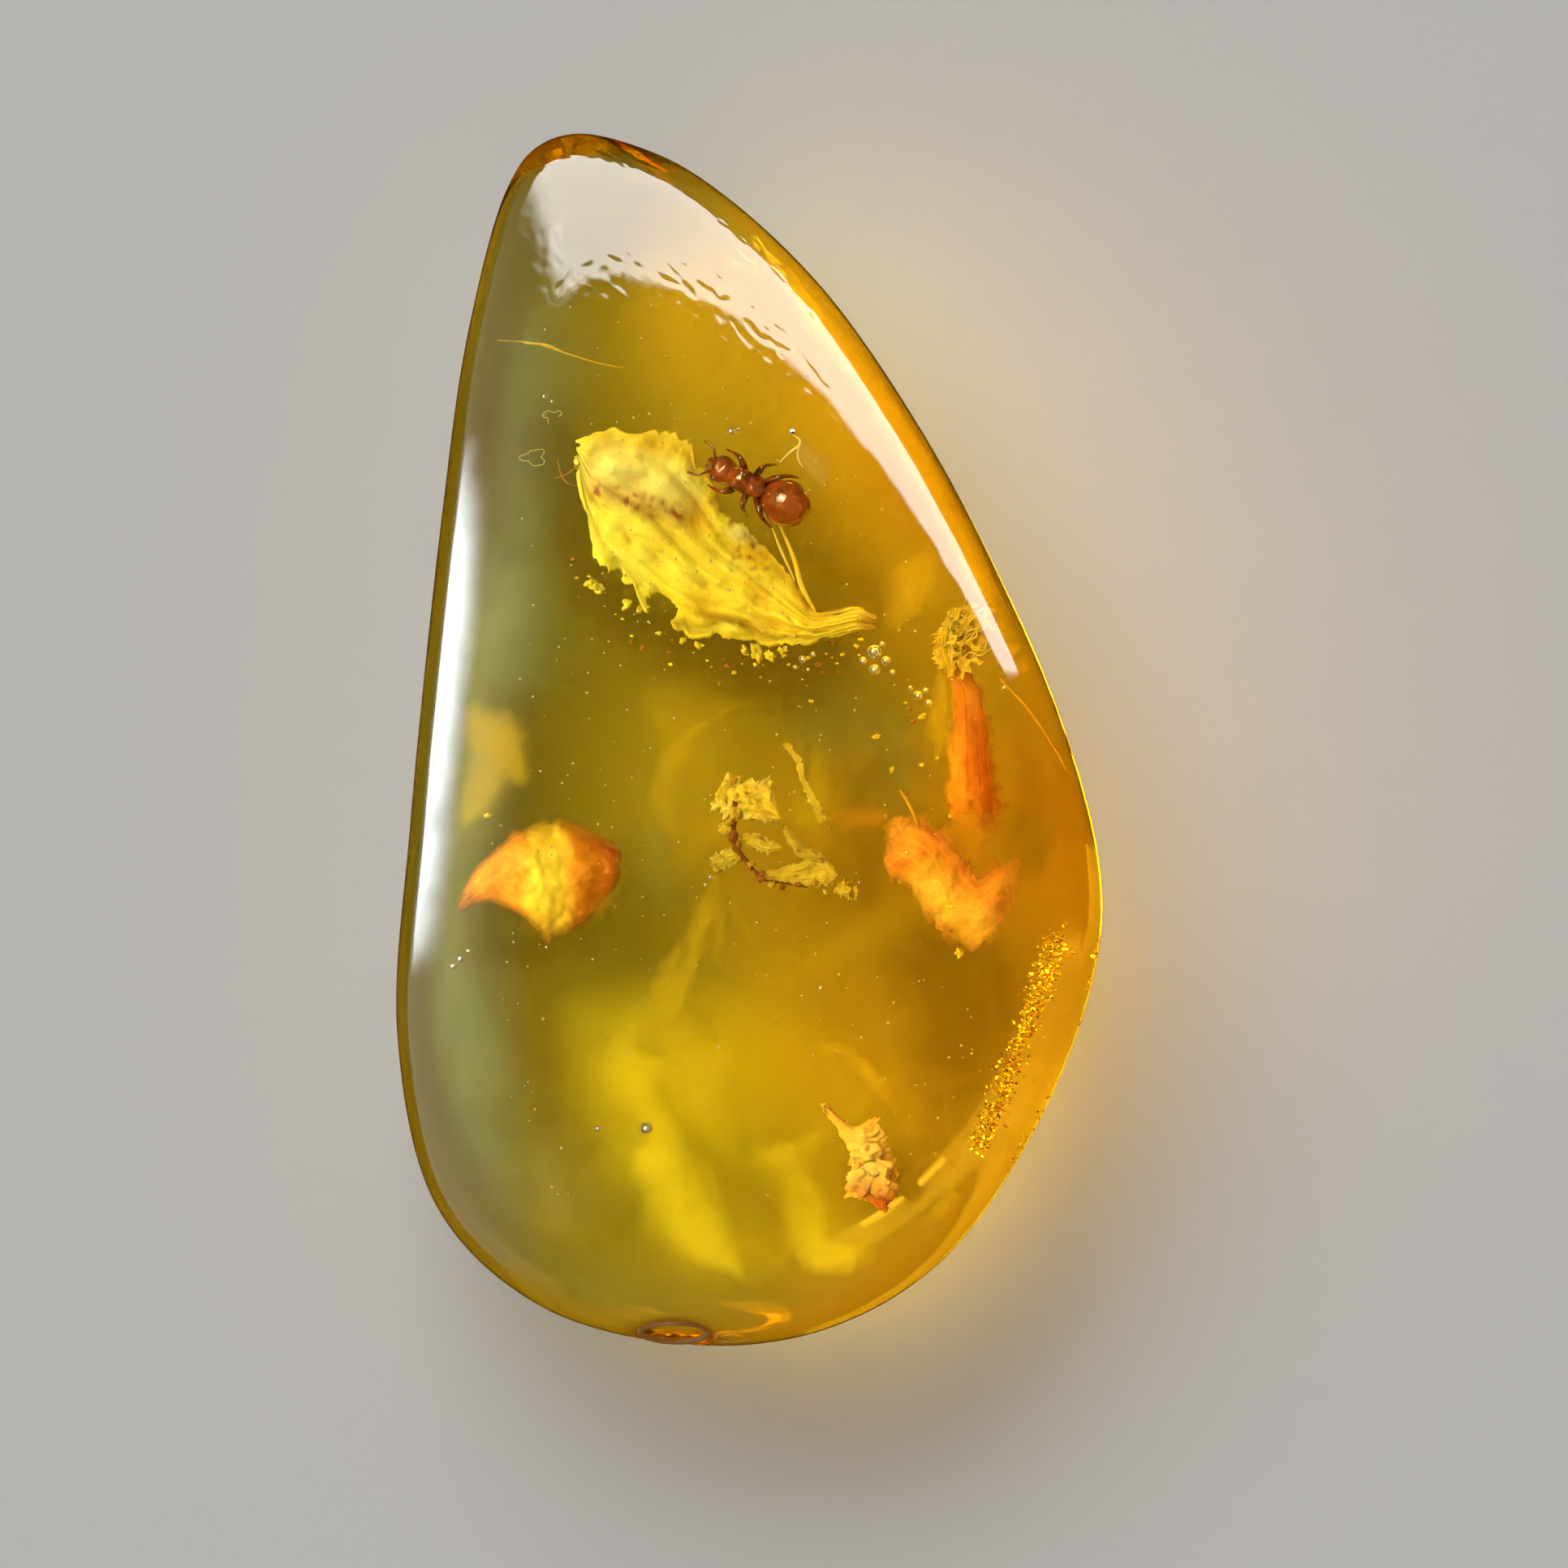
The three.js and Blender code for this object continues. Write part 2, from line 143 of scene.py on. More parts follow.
@dataclass
class DropShape:
    """The stone's outer form in millimetres, which every piece inside it is placed by."""

    length: float = 47.97
    width: float = 27.97
    thickness: float = 11.99
    girdle: float = 5.0
    dome_power: float = 0.22
    back_flat: float = 0.74
    back_part: float = 0.62
    index: float = 1.54
    heart: Place = (-0.5, -4.0)
    corners: tuple[Place, ...] = (
        (-0.49, 1.0), (-0.607, 0.977), (-0.685, 0.915), (-0.8, 0.673), (-0.878, 0.351),
        (-0.963, -0.133), (-1.0, -0.495), (-0.884, -0.776), (-0.592, -0.937), (-0.156, -1.0),
        (0.222, -0.973), (0.551, -0.857), (0.834, -0.615), (0.982, -0.374), (0.993, -0.213),
        (0.885, 0.029), (0.707, 0.27), (0.484, 0.512), (0.192, 0.754), (-0.113, 0.916),
        (-0.283, 0.971),
    )
    azimuths: np.ndarray = field(init=False)
    reaches: np.ndarray = field(init=False)

    def __post_init__(self) -> None:
        """Works out how far the rim is from the heart all round."""
        half = np.array([self.width / 2, self.length / 2])
        line = Curve(np.array(self.corners) * half, closed=True).at(np.linspace(0, 1, 4001)[:-1])
        low, high = line.min(axis=0), line.max(axis=0)
        line = (line - (low + high) / 2) * (2 * half / (high - low))
        away = line - np.array(self.heart)
        azimuths = np.arctan2(away[:, 1], away[:, 0])
        order = np.argsort(azimuths)
        self.azimuths = azimuths[order]
        self.reaches = np.linalg.norm(away, axis=1)[order]

    def rim(self, azimuth: np.ndarray) -> np.ndarray:
        """Gives how far the rim is from the heart in some directions."""
        return np.interp(azimuth, self.azimuths, self.reaches, period=2 * math.pi)

    def share(self, x: np.ndarray, y: np.ndarray) -> np.ndarray:
        """Gives how far out places lie, from 0 at the heart to 1 on the rim."""
        away_x, away_y = x - self.heart[0], y - self.heart[1]
        return np.hypot(away_x, away_y) / self.rim(np.arctan2(away_y, away_x))

    def dome(self, share: np.ndarray) -> np.ndarray:
        """Gives the dome's height over the back at shares of the way out."""
        rise = self.thickness - self.girdle
        return self.girdle + rise * np.maximum(1 - share**2, 0) ** self.dome_power

    def beneath(self, seen: np.ndarray, level: np.ndarray) -> np.ndarray:
        """Finds where points lie that are seen straight down through the dome.

        Args:
            seen: The x and y at which each point is seen.
            level: The height of each point.

        Returns:
            The x, y and z of each point.
        """
        x, y = np.asarray(seen, dtype=float).T
        level = np.broadcast_to(np.asarray(level, dtype=float), x.shape)
        step = 0.05
        top = self.dome(self.share(x, y))
        lean_x = (self.dome(self.share(x - step, y)) - self.dome(self.share(x + step, y))) / (2 * step)
        lean_y = (self.dome(self.share(x, y - step)) - self.dome(self.share(x, y + step))) / (2 * step)
        upright = 1 / np.sqrt(1 + lean_x**2 + lean_y**2)
        bend = 1 / self.index
        along = bend * upright - np.sqrt(1 - bend**2 * (1 - upright**2))
        reach = (top - level) / (bend - along * upright)
        aside = reach * along * upright
        return np.stack([x + aside * lean_x, y + aside * lean_y, level], axis=1)

    def spot(self, seen: Place, level: float) -> Spot:
        """Finds where one point lies that is seen straight down through the dome."""
        return tuple(self.beneath(np.array([seen]), level)[0])

    def surface(self, directions: np.ndarray) -> np.ndarray:
        """Lays the directions of a ball out over the stone.

        Args:
            directions: Unit vectors from a ball's middle.

        Returns:
            A point of the stone's surface for each of them.
        """
        dx, dy, dz = directions.T
        azimuth = np.arctan2(dy, dx)
        lean = np.arccos(np.clip(np.abs(dz), 0, 1))
        around = np.clip(lean / (math.pi / 2), 0, 1)
        corner = np.clip((around - self.back_part) / (1 - self.back_part), 0, 1) * math.pi / 2
        back_share = np.where(
            around < self.back_part,
            self.back_flat * around / self.back_part,
            self.back_flat + (1 - self.back_flat) * np.sin(corner),
        )
        back_height = self.girdle * (1 - np.cos(corner))
        share = np.where(dz >= 0, np.sin(lean), back_share)
        height = np.where(dz >= 0, self.dome(np.sin(lean)), back_height)
        reach = share * self.rim(azimuth)
        return np.stack(
            [self.heart[0] + reach * np.cos(azimuth), self.heart[1] + reach * np.sin(azimuth), height], axis=1
        )


class Graph:
    """A material's nodes, with short calls to add and join them."""

    def __init__(self, name: str) -> None:
        """Starts a material that has one shader.

        Args:
            name: The material's name.
        """
        self.material = bpy.data.materials.new(name)
        self.material.use_nodes = True
        self.nodes = self.material.node_tree.nodes
        self.shader = next(node for node in self.nodes if node.type == "BSDF_PRINCIPLED")
        self.output = next(node for node in self.nodes if node.type == "OUTPUT_MATERIAL")
        self.coordinates = self.nodes.new("ShaderNodeTexCoord")

    def link(self, source: bpy.types.NodeSocket, target: bpy.types.NodeSocket) -> None:
        """Joins two sockets."""
        self.material.node_tree.links.new(source, target)

    def value(self, socket: str, value: object) -> None:
        """Sets one of the shader's own values."""
        self.shader.inputs[socket].default_value = value

    def noise(
        self,
        scale: float,
        detail: float = 3.0,
        source: str = "Object",
        stretch: Spot = (1.0, 1.0, 1.0),
        distortion: float = 0.0,
    ) -> bpy.types.NodeSocket:
        """Adds a noise pattern.

        Args:
            scale: How many lumps there are to a metre, or to a unit of the map.
            detail: How many finer layers it has.
            source: The coordinates that it reads.
            stretch: How much it is drawn out along each axis.
            distortion: How much it is stirred.

        Returns:
            The pattern, from 0 to 1.
        """
        mapping = self.nodes.new("ShaderNodeMapping")
        mapping.vector_type = "TEXTURE"
        mapping.inputs["Scale"].default_value = stretch
        self.link(self.coordinates.outputs[source], mapping.inputs["Vector"])
        pattern = self.nodes.new("ShaderNodeTexNoise")
        pattern.inputs["Scale"].default_value = scale
        pattern.inputs["Detail"].default_value = detail
        pattern.inputs["Distortion"].default_value = distortion
        self.link(mapping.outputs["Vector"], pattern.inputs["Vector"])
        return pattern.outputs["Fac"]

    def span(
        self, source: bpy.types.NodeSocket, low: float, high: float, to_low: float = 0.0, to_high: float = 1.0
    ) -> bpy.types.NodeSocket:
        """Maps a value from one range to another."""
        node = self.nodes.new("ShaderNodeMapRange")
        for socket, number in zip(("From Min", "From Max", "To Min", "To Max"), (low, high, to_low, to_high)):
            node.inputs[socket].default_value = number
        self.link(source, node.inputs["Value"])
        return node.outputs["Result"]

    def sum(self, first: bpy.types.NodeSocket, second: bpy.types.NodeSocket) -> bpy.types.NodeSocket:
        """Adds two values."""
        node = self.nodes.new("ShaderNodeMath")
        node.operation = "ADD"
        self.link(first, node.inputs[0])
        self.link(second, node.inputs[1])
        return node.outputs["Value"]

    def ramp(
        self, source: bpy.types.NodeSocket, stops: Sequence[tuple[float, Colour]]
    ) -> bpy.types.NodeSocket:
        """Colours a value.

        Args:
            source: The value, from 0 to 1.
            stops: Where each colour lies, from the lowest up.

        Returns:
            The colour.
        """
        node = self.nodes.new("ShaderNodeValToRGB")
        elements = node.color_ramp.elements
        while len(elements) < len(stops):
            elements.new(1.0)
        for element, (position, colour) in zip(elements, stops):
            element.position = position
            element.color = (*colour, 1.0)
        self.link(source, node.inputs["Fac"])
        return node.outputs["Color"]

    def blend(
        self, amount: bpy.types.NodeSocket, base: bpy.types.NodeSocket, colour: Colour
    ) -> bpy.types.NodeSocket:
        """Lays a colour over another one by some amount."""
        node = self.nodes.new("ShaderNodeMix")
        node.data_type = "RGBA"
        colours = [socket for socket in node.inputs if socket.type == "RGBA"]
        self.link(amount, node.inputs["Factor"])
        self.link(base, colours[0])
        colours[1].default_value = (*colour, 1.0)
        return next(socket for socket in node.outputs if socket.type == "RGBA")

    def attribute(self, name: str, output: str = "Fac") -> bpy.types.NodeSocket:
        """Reads a number or a colour that the mesh carries at each of its points."""
        node = self.nodes.new("ShaderNodeAttribute")
        node.attribute_name = name
        return node.outputs[output]

    def relief(self, height: bpy.types.NodeSocket, strength: float, depth: float) -> None:
        """Gives the surface a fine relief.

        Args:
            height: The relief's height, from 0 to 1.
            strength: How plainly it shows.
            depth: How deep it is, in metres.
        """
        node = self.nodes.new("ShaderNodeBump")
        node.inputs["Strength"].default_value = strength
        node.inputs["Distance"].default_value = depth
        self.link(height, node.inputs["Height"])
        self.link(node.outputs["Normal"], self.shader.inputs["Normal"])


@dataclass(frozen=True)
class AmberFinish:
    """Clear resin: how it tints, soaks up and bends light, and how smooth it is polished."""

    index: float = 1.54
    soaked_up: Colour = (7.0, 18.0, 125.0)
    tints: tuple[tuple[float, Colour], ...] = (
        (0.0, (0.58, 0.62, 0.5)),
        (0.22, (0.58, 0.55, 0.38)),
        (0.45, (0.72, 0.63, 0.34)),
        (0.7, (0.86, 0.66, 0.3)),
        (1.0, (0.92, 0.6, 0.2)),
    )
    skin: Colour = (0.98, 0.5, 0.05)
    scar: Colour = (0.3, 0.06, 0.005)
    across: float = 0.014
    roughness: float = 0.025

    def material(self) -> bpy.types.Material:
        """Makes the material."""
        graph = Graph("amber")
        graph.value("Transmission Weight", 1.0)
        graph.value("IOR", self.index)
        graph.link(self.tint(graph), graph.shader.inputs["Base Color"])
        graph.value("Roughness", self.roughness)
        soak = graph.nodes.new("ShaderNodeVolumeAbsorption")
        density = max(self.soaked_up)
        soak.inputs["Density"].default_value = density
        soak.inputs["Color"].default_value = (*(1 - part / density for part in self.soaked_up), 1.0)
        graph.link(soak.outputs["Volume"], graph.output.inputs["Volume"])
        return graph.material

    def tint(self, graph: Graph) -> bpy.types.NodeSocket:
        """Gives the tint, which goes from grey-green to gold across the stone, with its skin and its scar.

        Args:
            graph: The material's nodes.

        Returns:
            The colour.
        """
        axes = graph.nodes.new("ShaderNodeSeparateXYZ")
        graph.link(graph.coordinates.outputs["Object"], axes.inputs["Vector"])
        across = graph.span(axes.outputs["X"], -self.across, self.across)
        drift = graph.span(graph.noise(95.0, 0.0), 0.25, 0.75, -0.2, 0.2)
        tint = graph.ramp(graph.sum(across, drift), self.tints)
        tint = graph.blend(graph.attribute("skin"), tint, self.skin)
        return graph.blend(graph.attribute("scarred"), tint, self.scar)


@dataclass(frozen=True)
class ScrapFinish:
    """A dried scrap of a plant: its mottled colours, its fibres and its relief."""

    name: str
    shades: tuple[Colour, Colour, Colour]
    # the dark colour: real stains, and on the leaf painted shade and shadow
    stain_and_shade_colour: Colour
    # the pale colour: bleached parts, and the painted glow of the petal and painted highlight of the bark
    # strip's edge
    bloom: Colour
    # the colour painted into creases as shade, and laid evenly where a scrap is duller
    shade: Colour
    mottle: float = 700.0
    fibre: Place = (6.0, 3.0)
    roughness: float = 0.6
    depth: float = 0.0002
    melts: bool = False
    wool: float = 0.15

    def material(self) -> bpy.types.Material:
        """Makes the material, which melts into the resin at its edges where it has to."""
        graph = Graph(self.name)
        mottle = graph.noise(self.mottle, 4.0, distortion=0.4)
        fibre = graph.noise(1.0, 3.0, source="UV", stretch=(1 / self.fibre[0], 1 / self.fibre[1], 1.0))
        both = graph.span(graph.sum(mottle, fibre), 0.7, 1.3)
        low, middle, high = self.shades
        colour = graph.ramp(both, ((0.0, low), (0.5, middle), (1.0, high)))
        # bleached parts, and painted glow and highlight on the petal and bark strip
        colour = graph.blend(graph.attribute("pale"), colour, self.bloom)
        # painted shade in the creases, and the duller tone of some flakes
        colour = graph.blend(graph.attribute("fold"), colour, self.shade)
        # stains, and on the leaf painted shade along a fold and painted shadow along its lower edge
        colour = graph.blend(graph.attribute("deep"), colour, self.stain_and_shade_colour)
        graph.link(colour, graph.shader.inputs["Base Color"])
        rough = graph.span(mottle, 0.3, 0.7, self.roughness - 0.12, self.roughness + 0.12)
        graph.link(rough, graph.shader.inputs["Roughness"])
        graph.relief(graph.sum(graph.noise(self.mottle * 3, 3.0), fibre), 0.8, self.depth)
        if self.melts:
            wool = graph.span(graph.noise(self.mottle * 3, 2.0), 0.3, 0.7, -self.wool, self.wool)
            body = graph.sum(graph.attribute("body"), wool)
            graph.link(graph.span(body, 0.1, 0.95), graph.shader.inputs["Alpha"])
            graph.material.use_transparent_shadow = False
        return graph.material


@dataclass(frozen=True)
class ShellFinish:
    """The ant's shiny shell."""

    dark: Colour = (0.012, 0.003, 0.001)
    light: Colour = (0.46, 0.08, 0.015)

    def material(self) -> bpy.types.Material:
        """Makes the material."""
        graph = Graph("ant_shell")
        mottle = graph.noise(1500.0, 3.0)
        colour = graph.ramp(mottle, ((0.35, self.dark), (0.8, self.light)))
        colour = graph.blend(graph.attribute("pale"), colour, self.light)
        graph.link(colour, graph.shader.inputs["Base Color"])
        graph.link(graph.span(mottle, 0.3, 0.7, 0.06, 0.18), graph.shader.inputs["Roughness"])
        graph.value("Specular IOR Level", 0.9)
        graph.value("Coat Weight", 0.8)
        graph.relief(graph.noise(9000.0, 2.0), 0.25, 0.00001)
        return graph.material


@dataclass(frozen=True)
class HazeFinish:
    """A veil of micro-bubbles too fine to see singly, and in places of painted shade and painted glow, which
    only partly hides what is under it.
    """

    def material(self) -> bpy.types.Material:
        """Makes the material."""
        graph = Graph("haze")
        graph.link(graph.attribute("hue", "Color"), graph.shader.inputs["Base Color"])
        graph.link(graph.attribute("haze"), graph.shader.inputs["Alpha"])
        graph.value("Roughness", 0.9)
        graph.value("Specular IOR Level", 0.0)
        graph.material.use_transparent_shadow = False
        return graph.material


@dataclass(frozen=True)
class GoldFinish:
    """The flakes that flash like gold."""

    dull: Colour = (1.0, 0.66, 0.03)
    bright: Colour = (1.0, 0.92, 0.25)

    def material(self) -> bpy.types.Material:
        """Makes the material."""
        graph = Graph("gold_flakes")
        tone = graph.noise(3000.0, 2.0)
        graph.value("Metallic", 0.95)
        colour = graph.ramp(tone, ((0.3, self.dull), (0.7, self.bright)))
        graph.link(colour, graph.shader.inputs["Base Color"])
        graph.link(graph.span(tone, 0.3, 0.7, 0.05, 0.2), graph.shader.inputs["Roughness"])
        return graph.material


@dataclass(frozen=True)
class SilverFinish:
    """The silvery inside of a bubble."""

    def material(self) -> bpy.types.Material:
        """Makes the material."""
        graph = Graph("bubble_silver")
        graph.value("Metallic", 0.9)
        graph.link(
            graph.ramp(graph.noise(4000.0), ((0.3, (0.8, 0.84, 0.9)), (0.7, (0.95, 0.97, 1.0)))),
            graph.shader.inputs["Base Color"],
        )
        graph.link(graph.span(graph.noise(6000.0), 0.3, 0.7, 0.05, 0.2), graph.shader.inputs["Roughness"])
        return graph.material


@dataclass(frozen=True)
class FloorFinish:
    """The plain pale floor."""

    colour: Colour = (0.6, 0.6, 0.59)

    def material(self) -> bpy.types.Material:
        """Makes the material."""
        graph = Graph("pale_floor")
        paler = tuple(min(part * 1.06, 1.0) for part in self.colour)
        colour = graph.ramp(graph.noise(9.0, 0.0), ((0.3, self.colour), (0.7, paler)))
        graph.link(colour, graph.shader.inputs["Base Color"])
        graph.value("Roughness", 0.65)
        graph.value("Specular IOR Level", 0.0)
        return graph.material


def near(point: Place, start: Place, end: Place, width: float) -> float:
    """Tells how close a point is to a line.

    Args:
        point: The point.
        start: The line's first end.
        end: The line's other end.
        width: How far from the line the nearness fades out.

    Returns:
        1 on the line and 0 at the width or more from it.
    """
    line = Vector(end) - Vector(start)
    away = Vector(point) - Vector(start)
    along = min(max(away.dot(line) / max(line.length_squared, 1e-9), 0.0), 1.0)
    return max(1 - (away - line * along).length / width, 0.0) ** 0.7


def finished(
    name: str,
    mesh: bmesh.types.BMesh,
    material: bpy.types.Material,
    slot: Slot,
    *nodes: str,
    smooth: bool = True,
) -> bpy.types.Object:
    """Makes a piece of the object from a mesh in millimetres.

    Args:
        name: The piece's name.
        mesh: Its mesh, which is freed.
        material: What it is dressed in.
        slot: The record's finish that it takes.
        nodes: The solids that it stands for.
        smooth: Whether its faces are shaded as one round surface.

    Returns:
        The piece, riding on the body.
    """
    bmesh.ops.scale(mesh, vec=(MM, MM, MM), verts=mesh.verts)
    for face in mesh.faces:
        face.smooth = smooth
    data = bpy.data.meshes.new(name)
    mesh.to_mesh(data)
    mesh.free()
    return placed(name, data, material, slot, *nodes)


def placed(
    name: str, data: bpy.types.Mesh, material: bpy.types.Material, slot: Slot, *nodes: str
) -> bpy.types.Object:
    """Puts a finished mesh in the scene as a piece of the object.

    Args:
        name: The piece's name.
        data: Its mesh in metres.
        material: What it is dressed in.
        slot: The record's finish that it takes; not used.
        nodes: The solids that it stands for.

    Returns:
        The piece, riding on the body.
    """
    data.materials.append(material)
    piece = bpy.data.objects.new(name, data)
    bpy.context.scene.collection.objects.link(piece)
    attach(piece, BODY)
    if nodes:
        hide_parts(*nodes)
    LOG.info("%s: %d faces", name, len(data.polygons))
    return piece


def add_part(mesh: bmesh.types.BMesh, part: bmesh.types.BMesh) -> None:
    """Adds a finished part to a mesh, and frees it."""
    held = bpy.data.meshes.new("held")
    part.to_mesh(held)
    part.free()
    mesh.from_mesh(held)
    bpy.data.meshes.remove(held)


def add_stem(mesh: bmesh.types.BMesh, points: Sequence[Sequence[float]], radii: Sequence[float]) -> None:
    """Adds a round tapering stem to a mesh.

    Args:
        mesh: The mesh that gets it.
        points: The points that the stem passes.
        radii: How thick it is at each of them.
    """
    line = bpy.data.curves.new("stem", "CURVE")
    line.dimensions = "3D"
    line.bevel_depth = 1.0
    line.bevel_resolution = 2
    line.resolution_u = 5
    line.use_fill_caps = True
    spline = line.splines.new("BEZIER")
    spline.bezier_points.add(len(points) - 1)
    for knot, point, radius in zip(spline.bezier_points, points, radii):
        knot.co = point
        knot.radius = radius
        knot.handle_left_type = knot.handle_right_type = "AUTO"
    holder = bpy.data.objects.new("stem", line)
    made = bpy.data.meshes.new_from_object(holder)
    mesh.from_mesh(made)
    bpy.data.objects.remove(holder)
    bpy.data.curves.remove(line)
    bpy.data.meshes.remove(made)


def add_lump(
    mesh: bmesh.types.BMesh, at: Spot, radii: Spot, turn: float = 0.0, roughen: float = 0.0, fineness: int = 4
) -> list[bmesh.types.BMVert]:
    """Adds an egg-shaped lump to a mesh.

    Args:
        mesh: The mesh that gets it.
        at: Its middle.
        radii: Its half sizes.
        turn: How far it is turned about the upright, in radians.
        roughen: How lumpy it is, as a share of its size.
        fineness: How finely it is divided.

    Returns:
        Its vertices.
    """
    verts = bmesh.ops.create_icosphere(mesh, subdivisions=fineness, radius=1.0)["verts"]
    for vert in verts:
        wobble = 1 + roughen * noise.noise(vert.co * 1.7 + Vector(at) * 3.1)
        vert.co = Vector(part * radius for part, radius in zip(vert.co * wobble, radii))
    bmesh.ops.rotate(mesh, verts=verts, cent=(0, 0, 0), matrix=Matrix.Rotation(turn, 3, "Z"))
    bmesh.ops.translate(mesh, verts=verts, vec=at)
    return verts


@dataclass
class Stone:
    """The clear stone, in one piece, with its scar at the broad end and fine pits towards the tip."""

    shape: DropShape
    finish: AmberFinish
    fineness: int = 7
    waves: float = 0.05
    wave_scale: float = 0.16
    ripples: float = 0.003
    ripple_scale: float = 1.3
    worn_from: Place = (1.0, 5.0)
    skin_widths: Place = (0.35, 2.2)
    pitted_from: Place = (16.0, 17.6)
    pitted_slope: float = 0.6
    pitted_bend: Place = (-3.0, 4.0)
    pit_cuts: int = 3
    pit_grain: Place = (3.6, 1.7)
    pit_turn: float = -0.65
    pit_span: Place = (0.5, 0.75)
    pit_depth: float = 0.011
    scar: Spot = (-2.9, -23.4, 8.0)
    scar_size: Spot = (1.6, 0.9, 1.7)
    scar_depth: float = 0.6
    scar_lip: float = 0.3

    def build(self) -> bpy.types.Object:
        """Makes the stone.

        Returns:
            The piece, which stands for both halves.
        """
        mesh = bmesh.new()
        layers = [mesh.verts.layers.float.new(name) for name in ("skin", "scarred")]
        bmesh.ops.create_icosphere(mesh, subdivisions=self.fineness, radius=1.0)
        pitted = self.pitted(self.points(mesh))
        mesh.verts.index_update()
        edges = [edge for edge in mesh.edges if max(pitted[vert.index] for vert in edge.verts) > 0]
        bmesh.ops.subdivide_edges(mesh, edges=edges, cuts=self.pit_cuts, use_grid_fill=True)
        points = self.points(mesh)
        marks = np.stack([self.skin(points), self.scarred(points)], axis=1)
        for vert, point, pits, amounts in zip(mesh.verts, points, self.pitted(points), marks):
            vert.co = self.worn(Vector(point)) - Vector((0, 0, pits * self.pit(Vector(point))))
            for layer, amount in zip(layers, amounts):
                vert[layer] = amount
        return finished(
            "clear_stone", mesh, self.finish.material(), Slot.AMBER, "amber_front", "amber_back"
        )

    def points(self, mesh: bmesh.types.BMesh) -> np.ndarray:
        """Gives the points of the ideal surface that a ball's vertices stand for."""
        return self.shape.surface(np.array([vert.co.normalized() for vert in mesh.verts]))

    def pit(self, point: Vector) -> float:
        """Gives how deep the small pits that the polish left are at a point."""
        along = Matrix.Rotation(self.pit_turn, 3, "Z") @ point
        fine, long = self.pit_grain
        grain = 0.5 + 0.5 * noise.noise(Vector((along.x * fine, along.y * long, along.z * fine)))
        low, high = self.pit_span
        return self.pit_depth * min(max((grain - low) / (high - low), 0.0), 1.0)

    def skin(self, points: np.ndarray) -> np.ndarray:
        """Gives how deep the orange skin is, which is broadest round the right of the rim.

        Args:
            points: Points of the surface.

        Returns:
            The skin at each of them, from 0 to 1.
        """
        away_x, away_y = points[:, 0] - self.shape.heart[0], points[:, 1] - self.shape.heart[1]
        azimuth = np.arctan2(away_y, away_x)
        inside = self.shape.rim(azimuth) - np.hypot(away_x, away_y)
        low, high = self.skin_widths
        width = low + (high - low) * (0.5 + 0.5 * np.cos(azimuth + 0.3))
        return np.clip(1 - inside / width, 0, 1) ** 0.8

    def pitted(self, points: np.ndarray) -> np.ndarray:
        """Gives how pitted the polish is, which is only towards the tip, and lower down on the right."""
        low, high = self.pitted_from
        bend, end = self.pitted_bend
        height = points[:, 1] + self.pitted_slope * np.maximum(points[:, 0] - bend, 0)
        ends = np.clip(end - points[:, 0], 0, 1) * (points[:, 2] > self.shape.girdle)
        return np.clip((height - low) / (high - low), 0, 1) * ends

    def scar_reach(self, points: np.ndarray) -> np.ndarray:
        """Gives how far points are from the scar's middle, which is 1 at its edge."""
        return np.linalg.norm((points - np.array(self.scar)) / np.array(self.scar_size), axis=1)

    def scarred(self, points: np.ndarray) -> np.ndarray:
        """Gives how brown the surface is round the scar's lip."""
        return np.exp(-(((self.scar_reach(points) - 0.9) / self.scar_lip) ** 2))

    def worn(self, point: Vector) -> Vector:
        """Moves a point of the ideal form in to where polishing by hand and the scar left it.

        Args:
            point: A point of the ideal surface.

        Returns:
            Where it really is.
        """
        towards = Vector((self.shape.heart[0] - point.x, self.shape.heart[1] - point.y, 0)).normalized()
        swell = 0.5 + 0.5 * noise.fractal(point * self.wave_scale, 1.0, 2.0, 3)
        low, high = self.worn_from
        above = min(max((point.z - low) / (high - low), 0.0), 1.0)
        ripple = self.ripples * (1 + noise.noise(point * self.ripple_scale))
        moved = point + (towards * 0.5 - Vector((0, 0, 0.8))) * (self.waves * swell + ripple) * above
        away = point - Vector(self.scar)
        inside = 1 - sum((part / size) ** 2 for part, size in zip(away, self.scar_size))
        if inside > 0:
            moved += (towards - Vector((0, 0, 0.5))) * self.scar_depth * inside
        return moved


